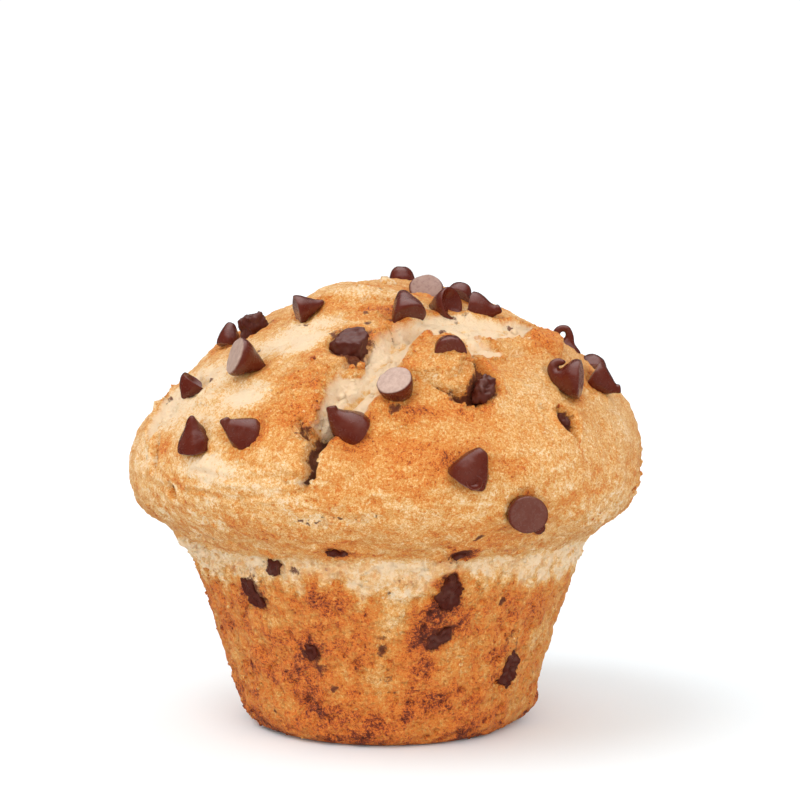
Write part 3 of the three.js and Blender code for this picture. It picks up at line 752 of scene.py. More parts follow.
class Skin:
    """The points of the plain form in millimetres, how far each one moves and what is painted on it."""

    def __init__(self, points, dough):
        self.points, self.dough = points, dough
        self.turn = np.degrees(np.arctan2(points[:, 0], -points[:, 1]))
        self.height = points[:, 2]
        self.cup = dough.cup_height / MM
        self.on_crown = smooth_step(self.cup - 0.6, self.cup + 1.6, self.height)
        self.on_wall = 1 - self.on_crown
        self.strays = np.stack([noise(points, 3.1, 40 + axis) + 0.5 * noise(points, 1.3, 50 + axis)
                                for axis in range(3)], axis=1)
        self.ragged = points + RAGGED * self.strays
        self.lift, self.torn, self.crumbly, self.dark, self.bare = (np.zeros(len(points)) for _ in range(5))
        self.slid = np.zeros((len(points), 3))
        self.fibre_and_shade = np.full(len(points), 0.5)
        self.toast = (CRUST_TOAST + 0.10 * noise(points, 17, 1) + 0.07 * noise(points, 6.5, 2)
                      + 0.05 * noise(points, 2.4, 3))


def swell(skin):
    for turn, height, reach, rise in SWELLINGS:
        away = np.linalg.norm(skin.points - spot_axes(turn, height, skin.dough)[0], axis=1)
        skin.lift += rise * np.exp(-(away / reach) ** 2)


def tear_open(skin):
    """Opens the tears down to fibrous crumb, each with a lip of crust round it; the crumb is painted with
    shade in the grooves between its fibres.
    """
    for path, depth, fibrous in TEARS.values():
        away = path_distance(skin.ragged, path, skin.dough)
        inside = smooth_step(1.22, 0.78, away)
        lip = np.exp(-((away - 1.4) / 0.35) ** 2)
        ends = spot_axes(*path[0][:2], skin.dough)[0], spot_axes(*path[-1][:2], skin.dough)[0]
        along = (ends[1] - ends[0]) / np.linalg.norm(ends[1] - ends[0])
        drawn = skin.points + 0.3 * skin.strays - STRETCH * (skin.points @ along)[:, None] * along
        strands = lumps(drawn, 1.35, 7, 3)
        grooves = smooth_step(0.14, 0.0, np.abs(noise(drawn, 2.2, 15))) * inside
        skin.lift += -depth * inside + LIP_HEIGHT * lip + fibrous * inside * strands - 0.7 * fibrous * grooves
        # Painted shade: the fresh crumb is darker in the grooves and between the raised strands, paler on top
        # of them.
        fresh = 0.86 + (0.12 + 0.42 * fibrous) * strands - 0.5 * grooves
        skin.fibre_and_shade = np.where(inside > 0, fresh, skin.fibre_and_shade)
        skin.toast += 0.10 * lip
        skin.crumbly += 0.5 * lip + 0.35 * inside
        patchy = 0.62 + 0.38 * smooth_step(-0.7, 0.3, noise(skin.points, 2.6, 11))
        skin.torn = np.maximum(skin.torn, smooth_step(1.45, 0.65, away) * patchy)


def raise_crust(skin):
    for *spot, stand, aside, upward in RAISED.values():
        away = patch_distance(skin.ragged, *spot, skin.dough)
        _, level, up, _ = spot_axes(*spot[:2], skin.dough)
        standing = smooth_step(1.2, 0.8, away)
        skin.lift += stand * standing
        skin.slid += standing[:, None] * (aside * level + upward * up)
        skin.torn *= 1 - smooth_step(1.15, 0.85, away)
        skin.crumbly += 0.5 * np.exp(-((away - 1.15) / 0.2) ** 2)


def crack_open(skin):
    """Cuts the narrow cracks, with painted shade in them that is darker where they are deeper."""
    for path, depth in CRACKS.values():
        away = path_distance(skin.points + 0.45 * skin.strays, path, skin.dough)
        inside = smooth_step(1.5, 0.3, away)
        skin.lift += -depth * inside + 0.18 * np.exp(-((away - 2.0) / 0.5) ** 2) * skin.on_crown
        # Painted shade in the deeper cracks, later painted in the burnt colour together with the rubbed
        # chocolate.
        skin.dark = np.maximum(skin.dark, smooth_step(1.15, 0.45, away) * smooth_step(0.5, 1.5, depth))


def shape_crown(skin):
    """Drag lines that the rising dough leaves round the low crown, mottled browning and a lumpy crust."""
    points, height, turn, on_crown = skin.points, skin.height, skin.turn, skin.on_crown
    low_crown = smooth_step(40, 44, height) * smooth_step(58, 50, height)
    front_left = np.exp(-((turn + 28) / 22) ** 2)
    drag = noise(points, np.array([7.0, 7.0, 1.0]), 21)
    skin.lift += (0.20 + 0.26 * front_left) * low_crown * drag
    skin.toast += -0.12 * low_crown * drag
    grainy = 0.5 + 0.7 * smooth_step(52, 44, height) + 0.3 * smooth_step(0, -30, turn)
    grainy -= 0.3 * smooth_step(18, 34, turn) * smooth_step(46, 52, height)
    skin.toast += 0.17 * grainy * lumps(points, 1.5, 29, 2)
    skin.toast += 0.12 * grainy * noise(drawn_round(points), np.array([3.4, 3.4, 0.9]), 28)
    skin.lift += on_crown * (0.50 * noise(points, 11, 22) + 0.26 * noise(points, 5, 23)
                             + 0.18 * lumps(points, 2.2, 24, 2))
    skin.lift += 0.20 * on_crown * lumps(points, 0.95, 27, 2)
    rough = smooth_step(0.15, 0.6, noise(points, 6.0, 30))
    for spot in ROUGH:
        away = patch_distance(skin.ragged, *spot, skin.dough)
        rough = np.maximum(rough, 2.4 * smooth_step(1.3, 0.6, away))
    skin.lift += 0.16 * on_crown * rough * lumps(points, 1.5, 31, 2)
    skin.crumbly += 0.6 * on_crown * smooth_step(1.2, 2.2, rough)


def shape_cup(skin):
    """The cup: lumpy, full of pores, and crumbling in the pale band just under the crown."""
    points, height, turn, on_wall = skin.points, skin.height, skin.turn, skin.on_wall
    pores = smooth_step(0.42, 0.12, cells(points, 2.3, 5)) * smooth_step(-0.3, 0.3, noise(points, 4, 33))
    fine_pores = smooth_step(0.42, 0.15, cells(points, 1.3, 6))
    skin.lift += on_wall * (0.30 * noise(points, 6.5, 34) + 0.40 * lumps(points, 2.4, 35, 3)
                            - PORE_DEPTH * pores - FINE_PORE_DEPTH * fine_pores)
    band_edge = BAND_HEIGHT + 2.8 * noise(points, 7, 36) + 3.2 * noise(points, np.array([2.0, 2.0, 5.0]), 37)
    band = smooth_step(band_edge - 4.0, band_edge + 2.2, height) * (
        smooth_step(skin.cup + 2.0, skin.cup - 0.2, height))
    left = np.exp(-((turn + 72) / 26) ** 2)
    skin.lift += band * ((0.30 + 0.45 * left) * lumps(points, 1.6, 38, 3) - 0.25)
    skin.crumbly += on_wall * (0.12 + 0.30 * band + 0.8 * left * (0.35 + band))
    leaning = turn + 1 - 0.30 * (height - 12) + 4 * noise(points, 6, 39)
    column = np.exp(-(leaning / 5.5) ** 2) * smooth_step(7, 13, height) * on_wall
    foot = smooth_step(3.4, 0.6, height)
    patchy = smooth_step(-0.1, 0.5, noise(points, 5.2, 63))
    # The pale band is paler still on the left, by 0.16 of left: painted light that makes up for the shade of
    # the crown's overhang there.
    toast = (CUP_TOAST + 0.13 * noise(points, 9, 60) + 0.12 * noise(points, 3.4, 61) - 0.12 * patchy
             + 0.09 * noise(points, np.array([1.8, 1.8, 5.0]), 62) + 0.10 * foot
             - (0.48 + 0.16 * left) * band - 0.26 * column + 0.16 * pores + 0.06 * smooth_step(16, 3, height))
    right = smooth_step(36, 58, turn) * smooth_step(130, 100, turn)
    toast += -0.08 * right + (0.10 + 0.22 * band) * lumps(points, 1.4, 64, 2)
    skin.toast += skin.on_crown * 0.06 * smooth_step(44, 38, height)
    skin.toast = skin.toast * skin.on_crown + toast * on_wall + uneven_baking_and_painted_light(skin)
    skin.band, skin.column = band, column


def uneven_baking_and_painted_light(skin):
    """How much darker each point has baked than its surroundings; under the crown this includes painted
    light.
    """
    baking = np.zeros(len(skin.points))
    for *spot, toast in BAKING_AND_PAINTED_LIGHT:
        away = patch_distance(skin.points + 1.2 * skin.strays, *spot, skin.dough)
        baking += toast * smooth_step(1.45, 0.35, away)
    return baking


def seat_chocolate(skin):
    """Crust that has risen round each chip and sunk under it, and is darker in a ring round it."""
    skin.near = chocolate_distance(skin.points)
    skin.lift += skin.on_crown * (0.30 * np.exp(-((skin.near - 1.6) / 0.8) ** 2)
                                  - 0.25 * np.exp(-(skin.near / 0.8) ** 2))
    halo = np.exp(-(skin.near / 1.7) ** 2) * (0.85 + 0.45 * noise(skin.points, 2.4, 70)) * skin.on_crown
    skin.toast += HALO_DARKENING * np.clip(halo, 0, 1)


def lay_bare(skin):
    for spot in BARE:
        away = patch_distance(skin.ragged, *spot, skin.dough)
        skin.bare = np.maximum(skin.bare, smooth_step(1.35, 0.6, away))
    skin.lift += skin.bare * (-0.25 + 0.25 * lumps(skin.points, 1.2, 72, 2))
    skin.toast -= 0.12 * skin.bare
    skin.torn = np.maximum(skin.torn, 0.35 * skin.bare)
    skin.crumbly += 0.8 * skin.bare


def paint_cocoa_and_crack_shade(skin):
    """How far the burnt colour darkens each point: painted shade in the cracks, and chocolate as specks,
    smears and dust.
    """
    speckled = np.maximum(skin.bare, 0.6 * skin.column)
    specks = smooth_step(0.40, 0.16, cells(skin.points, 1.25, 9)) * speckled
    cocoa_and_crack_shade = 1.05 * skin.dark + 0.85 * specks
    for *spot, strength in SMEARS:
        away = patch_distance(skin.points + 0.8 * skin.strays, *spot, skin.dough)
        cocoa_and_crack_shade = np.maximum(cocoa_and_crack_shade, strength * smooth_step(1.25, 0.45, away))
    dust = smooth_step(0.24, 0.10, cells(skin.points, 3.4, 12)) * (
        smooth_step(0.0, 0.5, noise(skin.points, 8, 77)))
    return np.maximum(cocoa_and_crack_shade, 0.7 * dust * np.maximum(skin.on_wall, 0.25 * skin.on_crown))


def sculpt(points, dough):
    """The plain form's skin with every swelling, tear, crack and patch on it, and what to paint on it."""
    skin = Skin(points, dough)
    for step in (swell, tear_open, raise_crust, crack_open, shape_crown, shape_cup, seat_chocolate, lay_bare):
        step(skin)
    crumbly = np.clip(skin.crumbly, 0, 1) * smooth_step(0.6, 1.6, skin.near)
    return skin, {"toast": skin.toast, "torn": np.maximum(skin.torn, 0.45 * skin.band * skin.on_wall),
                  "cocoa_and_crack_shade": paint_cocoa_and_crack_shade(skin), "fibre_and_shade": np.clip(skin.fibre_and_shade, 0, 1),
                  "wall": skin.on_wall * (1 - 0.5 * skin.band), "crumbly": crumbly}


def bake_crumb():
    """The whole crumb: the plain form made oval, sculpted, painted and thinned to its triangles."""
    dough = bpy.context.scene.muffin_dough
    piece = turned_dough(dough)
    points, out = vertices_of(piece) / MM, normals_of(piece)
    turn = np.degrees(np.arctan2(points[:, 0], -points[:, 1]))
    front = outline_radius(points[:, 2], 0.0, dough)
    shaped = outline_radius(points[:, 2], turn, dough)
    reach = np.linalg.norm(points[:, :2], axis=1)
    on_side = reach > 0.5 * front
    points[:, :2] *= np.where(on_side, shaped / np.maximum(front, 1e-6), 1)[:, None]
    skin, painted = sculpt(points, dough)
    bottom = smooth_step(0.15, 0.9, points[:, 2])
    out[:, 2] *= bottom
    lift = skin.lift * (0.35 + 0.65 * bottom)
    points += out * lift[:, None] + skin.slid
    points[:, 2] = np.maximum(points[:, 2], 0)
    move_vertices(piece, points * MM)
    for name, values in painted.items():
        paint(piece, name, values)
    triangles = sum(len(face.vertices) - 2 for face in piece.data.polygons)
    apply_modifier(piece, "DECIMATE", ratio=min(1, MOST_TRIANGLES / triangles))
    points = vertices_of(piece)
    points[:, 2] = np.maximum(points[:, 2], 0)
    move_vertices(piece, points)
    finish_piece(piece, "baked_crumb", crust_finish(), "baked_crumb", "muffin")
    return piece


# ------------------------------------------------------------------------------------ chocolate chips

CHIP_SIDES = 12
BACK_RADIUS = 0.90                # radius of a chip's flat back, where its widest is 1

# A chip is drawn out of its flat back step by step: forward, bend in degrees, radius (1 is its widest).
SHOULDER = [(0.03, 0, 0.96), (0.09, 0, 1.0), (0.20, 0, 0.985)]
CHIP_KINDS = {
    "pointed": [*SHOULDER, (0.28, 1, 0.84), (0.30, 2, 0.62), (0.30, 3, 0.41), (0.27, 4, 0.25),
                (0.22, 5, 0.14), (0.10, 5, 0.07)],
    "creased": [*SHOULDER, (0.26, 0, 0.88), (0.32, 1, 0.68), (0.32, 2, 0.47), (0.28, 3, 0.29),
                (0.24, 3, 0.14), (0.10, 3, 0.06)],
    "blunt": [*SHOULDER, (0.26, 0, 0.91), (0.32, 1, 0.76), (0.32, 2, 0.58), (0.26, 3, 0.42),
              (0.16, 3, 0.28), (0.06, 2, 0.14)],
    "nibbed": [*SHOULDER, (0.24, 1, 0.88), (0.28, 2, 0.70), (0.27, 4, 0.50), (0.21, 8, 0.36),
               (0.11, 9, 0.285), (0.10, 8, 0.275), (0.10, 4, 0.27), (0.07, 2, 0.18)],
    "hooked": [*SHOULDER, (0.28, 5, 0.87), (0.30, 12, 0.68), (0.30, 25, 0.48), (0.26, 38, 0.35),
               (0.24, 46, 0.28), (0.22, 46, 0.23), (0.20, 36, 0.19), (0.11, 20, 0.12)],
    "looped": [*SHOULDER, (0.24, -4, 0.76), (0.26, -10, 0.54), (0.28, -6, 0.38), (0.34, 22, 0.31),
               (0.38, 42, 0.28), (0.38, 46, 0.26), (0.38, 46, 0.25), (0.38, 46, 0.24), (0.38, 44, 0.23),
               (0.34, 34, 0.22), (0.20, 20, 0.16)],
    "stubby": [*SHOULDER, (0.26, 0, 0.96), (0.28, 0, 0.88), (0.26, 2, 0.74), (0.18, 3, 0.54),
               (0.08, 4, 0.28)],
    "cupped": [*SHOULDER, (0.24, 1, 0.90), (0.28, 2, 0.74), (0.28, 3, 0.54), (0.24, 5, 0.36),
               (0.20, 6, 0.20), (0.09, 6, 0.10)],
}

# Rim round a flat back, and rim and depth of the hollow in a cupped one.
BACK_RIM, CUP_RIM, CUP_DEPTH = 0.16, 0.30, 0.5
CREASES = {"creased": 0.28, "nibbed": 0.20, "blunt": 0.16}    # how strongly three flat sides are pressed in

# Kind of each chip that shows at the front, the directions that its tip points in and leans to (+X right, +Z
# up, -Y to the front), its size beside its CAD solid, and how far it is shifted in millimetres.
CHIP_FORMS = {
    "chip_peak_behind": ("stubby", (-0.1, 0.1, 0.97), (1, 0, 0), 0.92, (0.1, 0, 0.9)),
    "chip_peak_flat": ("stubby", (0.02, 0.84, -0.54), (1, 0, 0), 0.96, (0, 0, 0)),
    "chip_peak_front": ("blunt", (-0.24, 0.64, 0.74), (1, 0, 0), 1.0, (0.5, -2.0, -0.4)),
    "chip_peak_curl": ("cupped", (-0.72, 0.56, -0.20), (0, 0, 1), 1.04, (-0.5, -0.2, -0.1)),
    "chip_peak_hidden": ("stubby", (0.3, 0.6, 0.6), (1, 0, 0), 1.0, (-0.6, 0, 0.2)),
    "chip_peak_side": ("nibbed", (0.94, -0.16, -0.14), (0, 0, 1), 1.05, (-1.2, 0, -0.3)),
    "chip_under_flap": ("stubby", (-0.16, 0.80, 0.36), (1, 0, 0), 1.06, (0.9, -0.9, -0.8)),
    "chip_front_flat": ("blunt", (0.30, 0.66, -0.68), (1, 0, 0), 0.98, (0, 0, 0)),
    "chip_front_left": ("nibbed", (-0.66, -0.36, 0.60), (-0.2, 0, 1), 1.0, (0.1, 0, 0)),
    "chip_front_right": ("blunt", (0.44, -0.20, 0.86), (1, 0, 0.4), 1.05, (0.5, 0, 0.5)),
    "chip_low_right": ("stubby", (-0.22, 0.94, 0.10), (1, 0, 0), 1.0, (0, 0, -0.5)),
    "chip_left_middle": ("nibbed", (-0.80, -0.42, 0.44), (-0.2, 0, 1), 1.0, (0.3, 0, -0.4)),
    "chip_left_upright": ("creased", (-0.16, -0.16, 0.96), (1, 0, 0), 1.08, (0.3, 0, -0.2)),
    "chip_left_edge": ("cupped", (-0.56, 0.10, -0.82), (0, 0, -1), 0.84, (0.6, 1.3, -0.3)),
    "chip_left_lying": ("pointed", (0.86, 0.36, -0.34), (0, 0, -1), 1.0, (0, 0, -0.3)),
    "chip_left_horizon": ("blunt", (0.10, 0.2, 0.96), (1, 0, 0), 0.86, (-0.3, 0, -0.4)),
    "chip_left_top": ("pointed", (0.94, 0.24, 0.22), (0, 0, 1), 1.0, (-0.3, 0.2, -0.6)),
    "chip_right_horizon": ("looped", (0.05, 0.0, 1.0), (-1, 0, 0), 0.86, (0.8, 0, -0.9)),
    "chip_right_lying": ("hooked", (-0.90, 0.20, 0.02), (0, 0, 1), 1.1, (0.2, 0, -0.5)),
    "chip_right_hidden": ("stubby", (0.1, 0.6, 0.7), (1, 0, 0), 1.0, (0, 0, -0.6)),
    "chip_right_edge": ("nibbed", (0.78, -0.10, -0.50), (0, 0, 1), 1.04, (0, 0, -0.4)),
}
# Melted bits lying on the crust: turn, height, how far they stand out, kind, aim, lean and radius (mm),
# which also serves as the seed of their dents.
MELTED_BITS = {
    "melted_tip": (36.0, 38.6, -0.5, "stubby", (0.50, -0.60, -0.62), (1, 0, 0), 1.25),
    "melted_curl": (16.8, 46.9, 4.1, "cupped", (0.05, 0.80, -0.40), (1, 0, 0), 1.35),
}
DEALT_FORMS = ["pointed", "nibbed", "stubby", "creased", "hooked", "cupped", "blunt"]


def draw_chip(kind):
    """One chip of a kind round +Z, its flat back at the origin: a disc drawn out and bent."""
    put_down_everything()
    bpy.ops.mesh.primitive_circle_add(vertices=CHIP_SIDES, radius=BACK_RADIUS, fill_type="NGON")
    piece = bpy.context.object
    bpy.ops.object.mode_set(mode="EDIT")
    end, heading, radius = Vector((0, 0, 0)), 0.0, BACK_RADIUS
    for forward, bend, wide in CHIP_KINDS[kind]:
        middle = heading + math.radians(bend) / 2
        step = Vector((math.sin(middle), 0, math.cos(middle))) * forward
        bpy.ops.mesh.extrude_region_move(TRANSFORM_OT_translate={"value": step})
        end += step
        heading += math.radians(bend)
        bpy.ops.transform.rotate(value=-math.radians(bend), orient_axis="Y", center_override=end)
        bpy.ops.transform.resize(value=[wide / radius] * 3, center_override=end)
        radius = wide
    bpy.ops.mesh.select_all(action="SELECT")
    bpy.ops.mesh.normals_make_consistent(inside=False)
    bpy.ops.mesh.select_all(action="DESELECT")
    bpy.ops.object.mode_set(mode="OBJECT")
    back = min(piece.data.polygons, key=lambda face: face.center.z)
    back.select = True
    bpy.ops.object.mode_set(mode="EDIT")
    bpy.ops.mesh.inset(thickness=CUP_RIM if kind == "cupped" else BACK_RIM)
    if kind == "cupped":
        bpy.ops.transform.translate(value=(0, 0, CUP_DEPTH))
        bpy.ops.transform.resize(value=(0.7, 0.7, 1))
    bpy.ops.object.mode_set(mode="OBJECT")
    return piece


def chip_place(node):
    """Where a CAD chip lies: middle of its flat back, its axis, its tip's lean, its radius and its height."""
    mesh = node.data
    groups = {}
    for face in mesh.polygons:
        key = tuple(round(c, 2) for c in face.normal)
        groups.setdefault(key, []).append(face)
    back = max(groups.values(), key=lambda faces: sum(face.area for face in faces))
    area = sum(face.area for face in back)
    base = sum((face.center * face.area for face in back), Vector()) / area
    axis = -back[0].normal.normalized()
    tip = max((v.co for v in mesh.vertices), key=lambda co: (co - base).dot(axis))
    height = (tip - base).dot(axis)
    radius = max(((v.co - base) - axis * (v.co - base).dot(axis)).length for v in mesh.vertices)
    return base, axis, tip - base - axis * height, radius, height


def soften_chip(piece, kind, seed):
    """Rounds a chip, then dents it and makes it a little uneven, each one differently."""
    apply_modifier(piece, "SUBSURF", levels=2, render_levels=2)
    points, out = vertices_of(piece), normals_of(piece)
    shifted = points + 7.3 * seed
    dent = bpy.context.scene.muffin_chocolate.dent / MM
    points += out * dent * (0.55 * noise(shifted, 1.1, 3) + 0.25 * noise(shifted, 0.42, 4))[:, None]
    if kind in CREASES:
        wedge = 2 * math.pi / 3
        angle = np.arctan2(points[:, 1], points[:, 0]) + 0.5 * seed
        side = math.cos(wedge / 2) / np.cos(angle % wedge - wedge / 2)
        pressed = CREASES[kind] * smooth_step(-0.4, 0.3, points[:, 2]) * smooth_step(1.75, 1.3, points[:, 2])
        points[:, :2] *= (1 + pressed * (side - 0.80))[:, None]
    points[:, 0] *= 1 + 0.05 * math.sin(2.1 * seed)
    points[:, 1] *= 1 - 0.05 * math.sin(2.1 * seed)
    reach = np.linalg.norm(points[:, :2], axis=1)
    move_vertices(piece, points)
    # Marks the flat back for its pale bloom and painted highlight.
    paint(piece, "bloom_and_highlight", smooth_step(0.10, 0.02, points[:, 2]) * smooth_step(0.98, 0.84, reach))


# Pale flat backs of some chips, then of all others: part bloom, part painted highlight, strongest on backs
# facing the light.
BLOOM_AND_HIGHLIGHT = {"chip_peak_flat": 0.54, "chip_front_flat": 1.0, "chip_left_lying": 1.0, "chip_low_right": 0.10,
           "chip_under_flap": 0.05, "chip_peak_front": 0.0, "chip_peak_curl": 0.0, "chip_left_edge": 0.0}
OTHER_BLOOM_AND_HIGHLIGHT = 0.3
CHIP_MIDDLE = 0.42                # how far up a chip its middle lies, which it is turned about
MOST_STRETCH = 1.25               # how far a chip may be drawn out to match its CAD solid's height
SUNK = 1.0                        # how much deeper than its CAD solid a chip with no aim lies, in millimetres


def place_chip(piece, kind, node, aim, lean, size, shift):
    """Puts a drawn chip where its CAD solid lies, turned to aim its tip if an aim is given."""
    base, axis, leaning, radius, height = chip_place(node)
    radius *= size
    longest = vertices_of(piece)[:, 2].max()
    drawn_out = kind in ("pointed", "nibbed", "creased")
    stretch = min(height / radius / longest, MOST_STRETCH) if drawn_out else 1.0
    points = vertices_of(piece) * (radius, radius, radius * stretch)
    if aim is not None:
        middle = base + axis * height * CHIP_MIDDLE
        axis, leaning = Vector(aim).normalized(), Vector(lean)
        base = middle - axis * longest * radius * stretch * CHIP_MIDDLE + Vector(shift) * MM
    else:
        base += (Vector((0, 0, base.z * 0.8)) - base).normalized() * SUNK * MM
    turn_and_set(piece, points, axis, leaning, base)


def turn_and_set(piece, points, axis, leaning, base):
    """Turns a piece's points from +Z to an axis, with +X towards its lean, and sets them down at a base."""
    sideways = (leaning - axis * leaning.dot(axis)).normalized()
    turned = np.array((sideways, axis.cross(sideways), axis))
    move_vertices(piece, points @ turned + np.array(base))


def place_chips():
    """Every chip, drawn in its own kind where its CAD solid lies, and the melted bits beside them."""
    chocolate = chocolate_finish("dark chocolate", bpy.context.scene.muffin_colours.chocolate, 1.0)
    drawn = {kind: draw_chip(kind) for kind in CHIP_KINDS}
    chips = sorted(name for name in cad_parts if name.startswith("chip_"))
    for index, name in enumerate(chips):
        dealt = (DEALT_FORMS[index % len(DEALT_FORMS)], None, None, 1.0, None)
        kind, aim, lean, size, shift = CHIP_FORMS.get(name, dealt)
        piece = own_copy(drawn[kind], name + "_melted")
        soften_chip(piece, kind, index + 1)
        place_chip(piece, kind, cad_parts[name], aim, lean, size, shift)
        paint(piece, "bloom_and_highlight", attribute_of(piece, "bloom_and_highlight") * BLOOM_AND_HIGHLIGHT.get(name, OTHER_BLOOM_AND_HIGHLIGHT))
        finish_piece(piece, name + "_melted", chocolate, "chocolate", name)
    for name, (turn, height, stand, kind, aim, lean, radius) in MELTED_BITS.items():
        piece = own_copy(drawn[kind], name)
        soften_chip(piece, kind, radius)
        point, _, _, out = spot_axes(turn, height, bpy.context.scene.muffin_dough)
        turn_and_set(piece, vertices_of(piece) * radius * MM, Vector(aim).normalized(), Vector(lean),
                     (point + stand * out) * MM)
        paint(piece, "bloom_and_highlight", np.zeros(len(piece.data.vertices)))
        finish_piece(piece, name, chocolate, "chocolate")
    for piece in drawn.values():
        bpy.data.objects.remove(piece)


# Chunks that have spread out in the heat: how far they are drawn out by axis, how far they are shifted in
# millimetres, and how rugged they are beside the others.
SPREAD = {"chunk_crack_left": ((1.18, 1.1, 1.25), (-0.1, -0.1, -0.5), 0.45),
          "chunk_left_top": ((1.2, 1.1, 1.25), (-0.2, 0, 0.2), 0.9),
          "chunk_crack_right": ((1.15, 1.1, 1.15), (0, 0, 0), 1.0),
          "chunk_right_pit": ((1.15, 1.15, 1.15), (-0.9, 0.9, -0.4), 0.8),
          "chunk_cup_right": ((1.15, 1.0, 1.1), (0, 0, 0), 1.0),
          "chunk_cup_crumbly": ((1.25, 1.0, 1.0), (0, 0, 0), 1.0)}
PLAIN = ((1, 1, 1), (0, 0, 0), 1.0)
CHUNK_GRID = 0.26                 # size of a face of a broken chunk, in millimetres
MERGED = 0.02                     # corners of a CAD block nearer than this are one, in millimetres


def place_chunks():
    """The broken chunks: each CAD block merged, divided finely and roughened."""
    chocolate = chocolate_finish("broken chocolate", bpy.context.scene.muffin_colours.broken, 0.7)
    rugged = bpy.context.scene.muffin_chocolate.ruggedness / MM
    for index, name in enumerate(sorted(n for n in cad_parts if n.startswith("chunk_"))):
        piece = own_copy(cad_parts[name], name + "_broken")
        pick_up(piece)
        bpy.ops.object.mode_set(mode="EDIT")
        bpy.ops.mesh.select_all(action="SELECT")
        bpy.ops.mesh.remove_doubles(threshold=MERGED * MM)
        bpy.ops.object.mode_set(mode="OBJECT")
        apply_modifier(piece, "REMESH", mode="VOXEL", voxel_size=CHUNK_GRID * MM)
        points, out = vertices_of(piece) / MM, normals_of(piece)
        drawn, shift, share = SPREAD.get(name, PLAIN)
        middle = points.mean(0)
        points = middle + (points - middle) * drawn + shift
        shifted = points + 3.1 * index
        crumbled = share * rugged * (0.8 * noise(shifted, 1.7, 5) + 1.0 * lumps(shifted, 0.95, 6, 2)
                             - 0.7 * smooth_step(0.45, 0.1, cells(shifted, 1.1, 7)))
        move_vertices(piece, (points + out * crumbled[:, None]) * MM)
        paint(piece, "bloom_and_highlight", 0.06 * smooth_step(0.1, 0.6, noise(shifted, 0.9, 8)))
        finish_piece(piece, name + "_broken", chocolate, "chocolate", name)


# ------------------------------------------------------------------------------------ crumbs

CRUMB_SHAPES = 6
CRUMB_SEED = 11
LOWEST_CRUMB = 0.05               # how far a crumb's lowest points stay above the floor, in millimetres
CRUMB_SIZE = (0.18, 0.52)         # smallest and largest half width, in millimetres
CRUMB_SUNK = 0.25                 # how deep a crumb's middle lies, as a part of its half width

# Larger crumbs and lips of crust that stick out: turn, height, half width in millimetres.
LARGE_CRUMBS = [
    (-86.0, 56.4, 2.1), (-83.0, 55.2, 1.1), (-88.0, 58.6, 0.7), (43.0, 57.4, 0.55), (42.2, 56.4, 0.5),
    (44.0, 58.0, 0.45), (14.5, 60.8, 0.6), (16.5, 60.0, 0.5), (19.0, 58.8, 0.55), (21.0, 58.2, 0.45),
    (13.5, 62.0, 0.5), (-12.0, 61.0, 0.8), (-6.0, 66.0, 0.9), (-9.5, 65.0, 0.7), (-16.5, 58.0, 0.7),
    (-13.5, 56.0, 0.6), (6.0, 77.0, 1.7), (0.0, 76.9, 1.2), (21.0, 68.4, 0.6), (-17.0, 52.6, 0.6),
    (-12.5, 50.4, 0.5), (-19.0, 63.4, 0.8), (-22.5, 60.8, 0.7), (-21.0, 65.2, 0.6), (52.5, 69.4, 0.7),
    (57.0, 65.0, 0.5), (176, 58.0, 0.9), (170, 62.0, 0.8), (186, 55.0, 0.7), (232, 60.0, 0.8),
    (236, 57.0, 0.6), (150, 68.0, 0.8),
]


def draw_crumbs():
    """Half a dozen knobbly crumbs of half width 1 and their shared faces."""
    put_down_everything()
    bpy.ops.mesh.primitive_ico_sphere_add(subdivisions=2, radius=1)
    ball = bpy.context.object
    round_points = vertices_of(ball)
    faces = np.array([face.vertices[:] for face in ball.data.polygons])
    bpy.data.objects.remove(ball)
    shapes = [round_points * (1 + 0.42 * noise(round_points + 5 * i, 0.9, 80))[:, None] * (1, 0.85, 0.75)
              for i in range(CRUMB_SHAPES)]
    return shapes, faces


def scatter_crumbs():
    """Crumbs stuck where the crust is crumbly, joined in one mesh."""
    body = bpy.data.objects["baked_crumb"]
    points, out = vertices_of(body) / MM, normals_of(body)
    chance = attribute_of(body, "crumbly") ** 1.5
    draws = np.random.default_rng(CRUMB_SEED)
    count = bpy.context.scene.muffin_dough.crumbs
    spots = draws.choice(len(points), size=count, replace=False, p=chance / chance.sum())
    sizes = CRUMB_SIZE[0] + (CRUMB_SIZE[1] - CRUMB_SIZE[0]) * draws.random(count) ** 2
    for turn, height, half_width in LARGE_CRUMBS:
        away = points - spot_axes(turn, height, bpy.context.scene.muffin_dough)[0]
        spots = np.append(spots, (away ** 2).sum(1).argmin())
        sizes = np.append(sizes, half_width)
    shapes, faces = draw_crumbs()
    all_points, all_faces = [], []
    for index, (spot, size) in enumerate(zip(spots, sizes)):
        turned = np.array(Matrix.Rotation(draws.random() * 6.28, 3, Vector(draws.normal(size=3))))
        middle = points[spot] - out[spot] * size * CRUMB_SUNK
        all_faces.append(faces + index * len(shapes[0]))
        all_points.append(shapes[index % CRUMB_SHAPES] @ turned * size + middle)
    placed = np.concatenate(all_points)
    placed[:, 2] = np.maximum(placed[:, 2], LOWEST_CRUMB)
    piece = new_piece("crust_crumbs", (placed * MM).tolist(), np.concatenate(all_faces).tolist())
    share = len(shapes[0])
    for name, spread in (("toast", 0.12), ("torn", 0.0), ("wall", 0.0), ("cocoa_and_crack_shade", 0.0), ("fibre_and_shade", 0.1)):
        values = attribute_of(body, name)[spots] + spread * draws.normal(size=len(spots))
        paint(piece, name, np.repeat(values, share))
    finish_piece(piece, "crust_crumbs", crust_finish(), "baked_crumb")


# ------------------------------------------------------------------------------------ stage

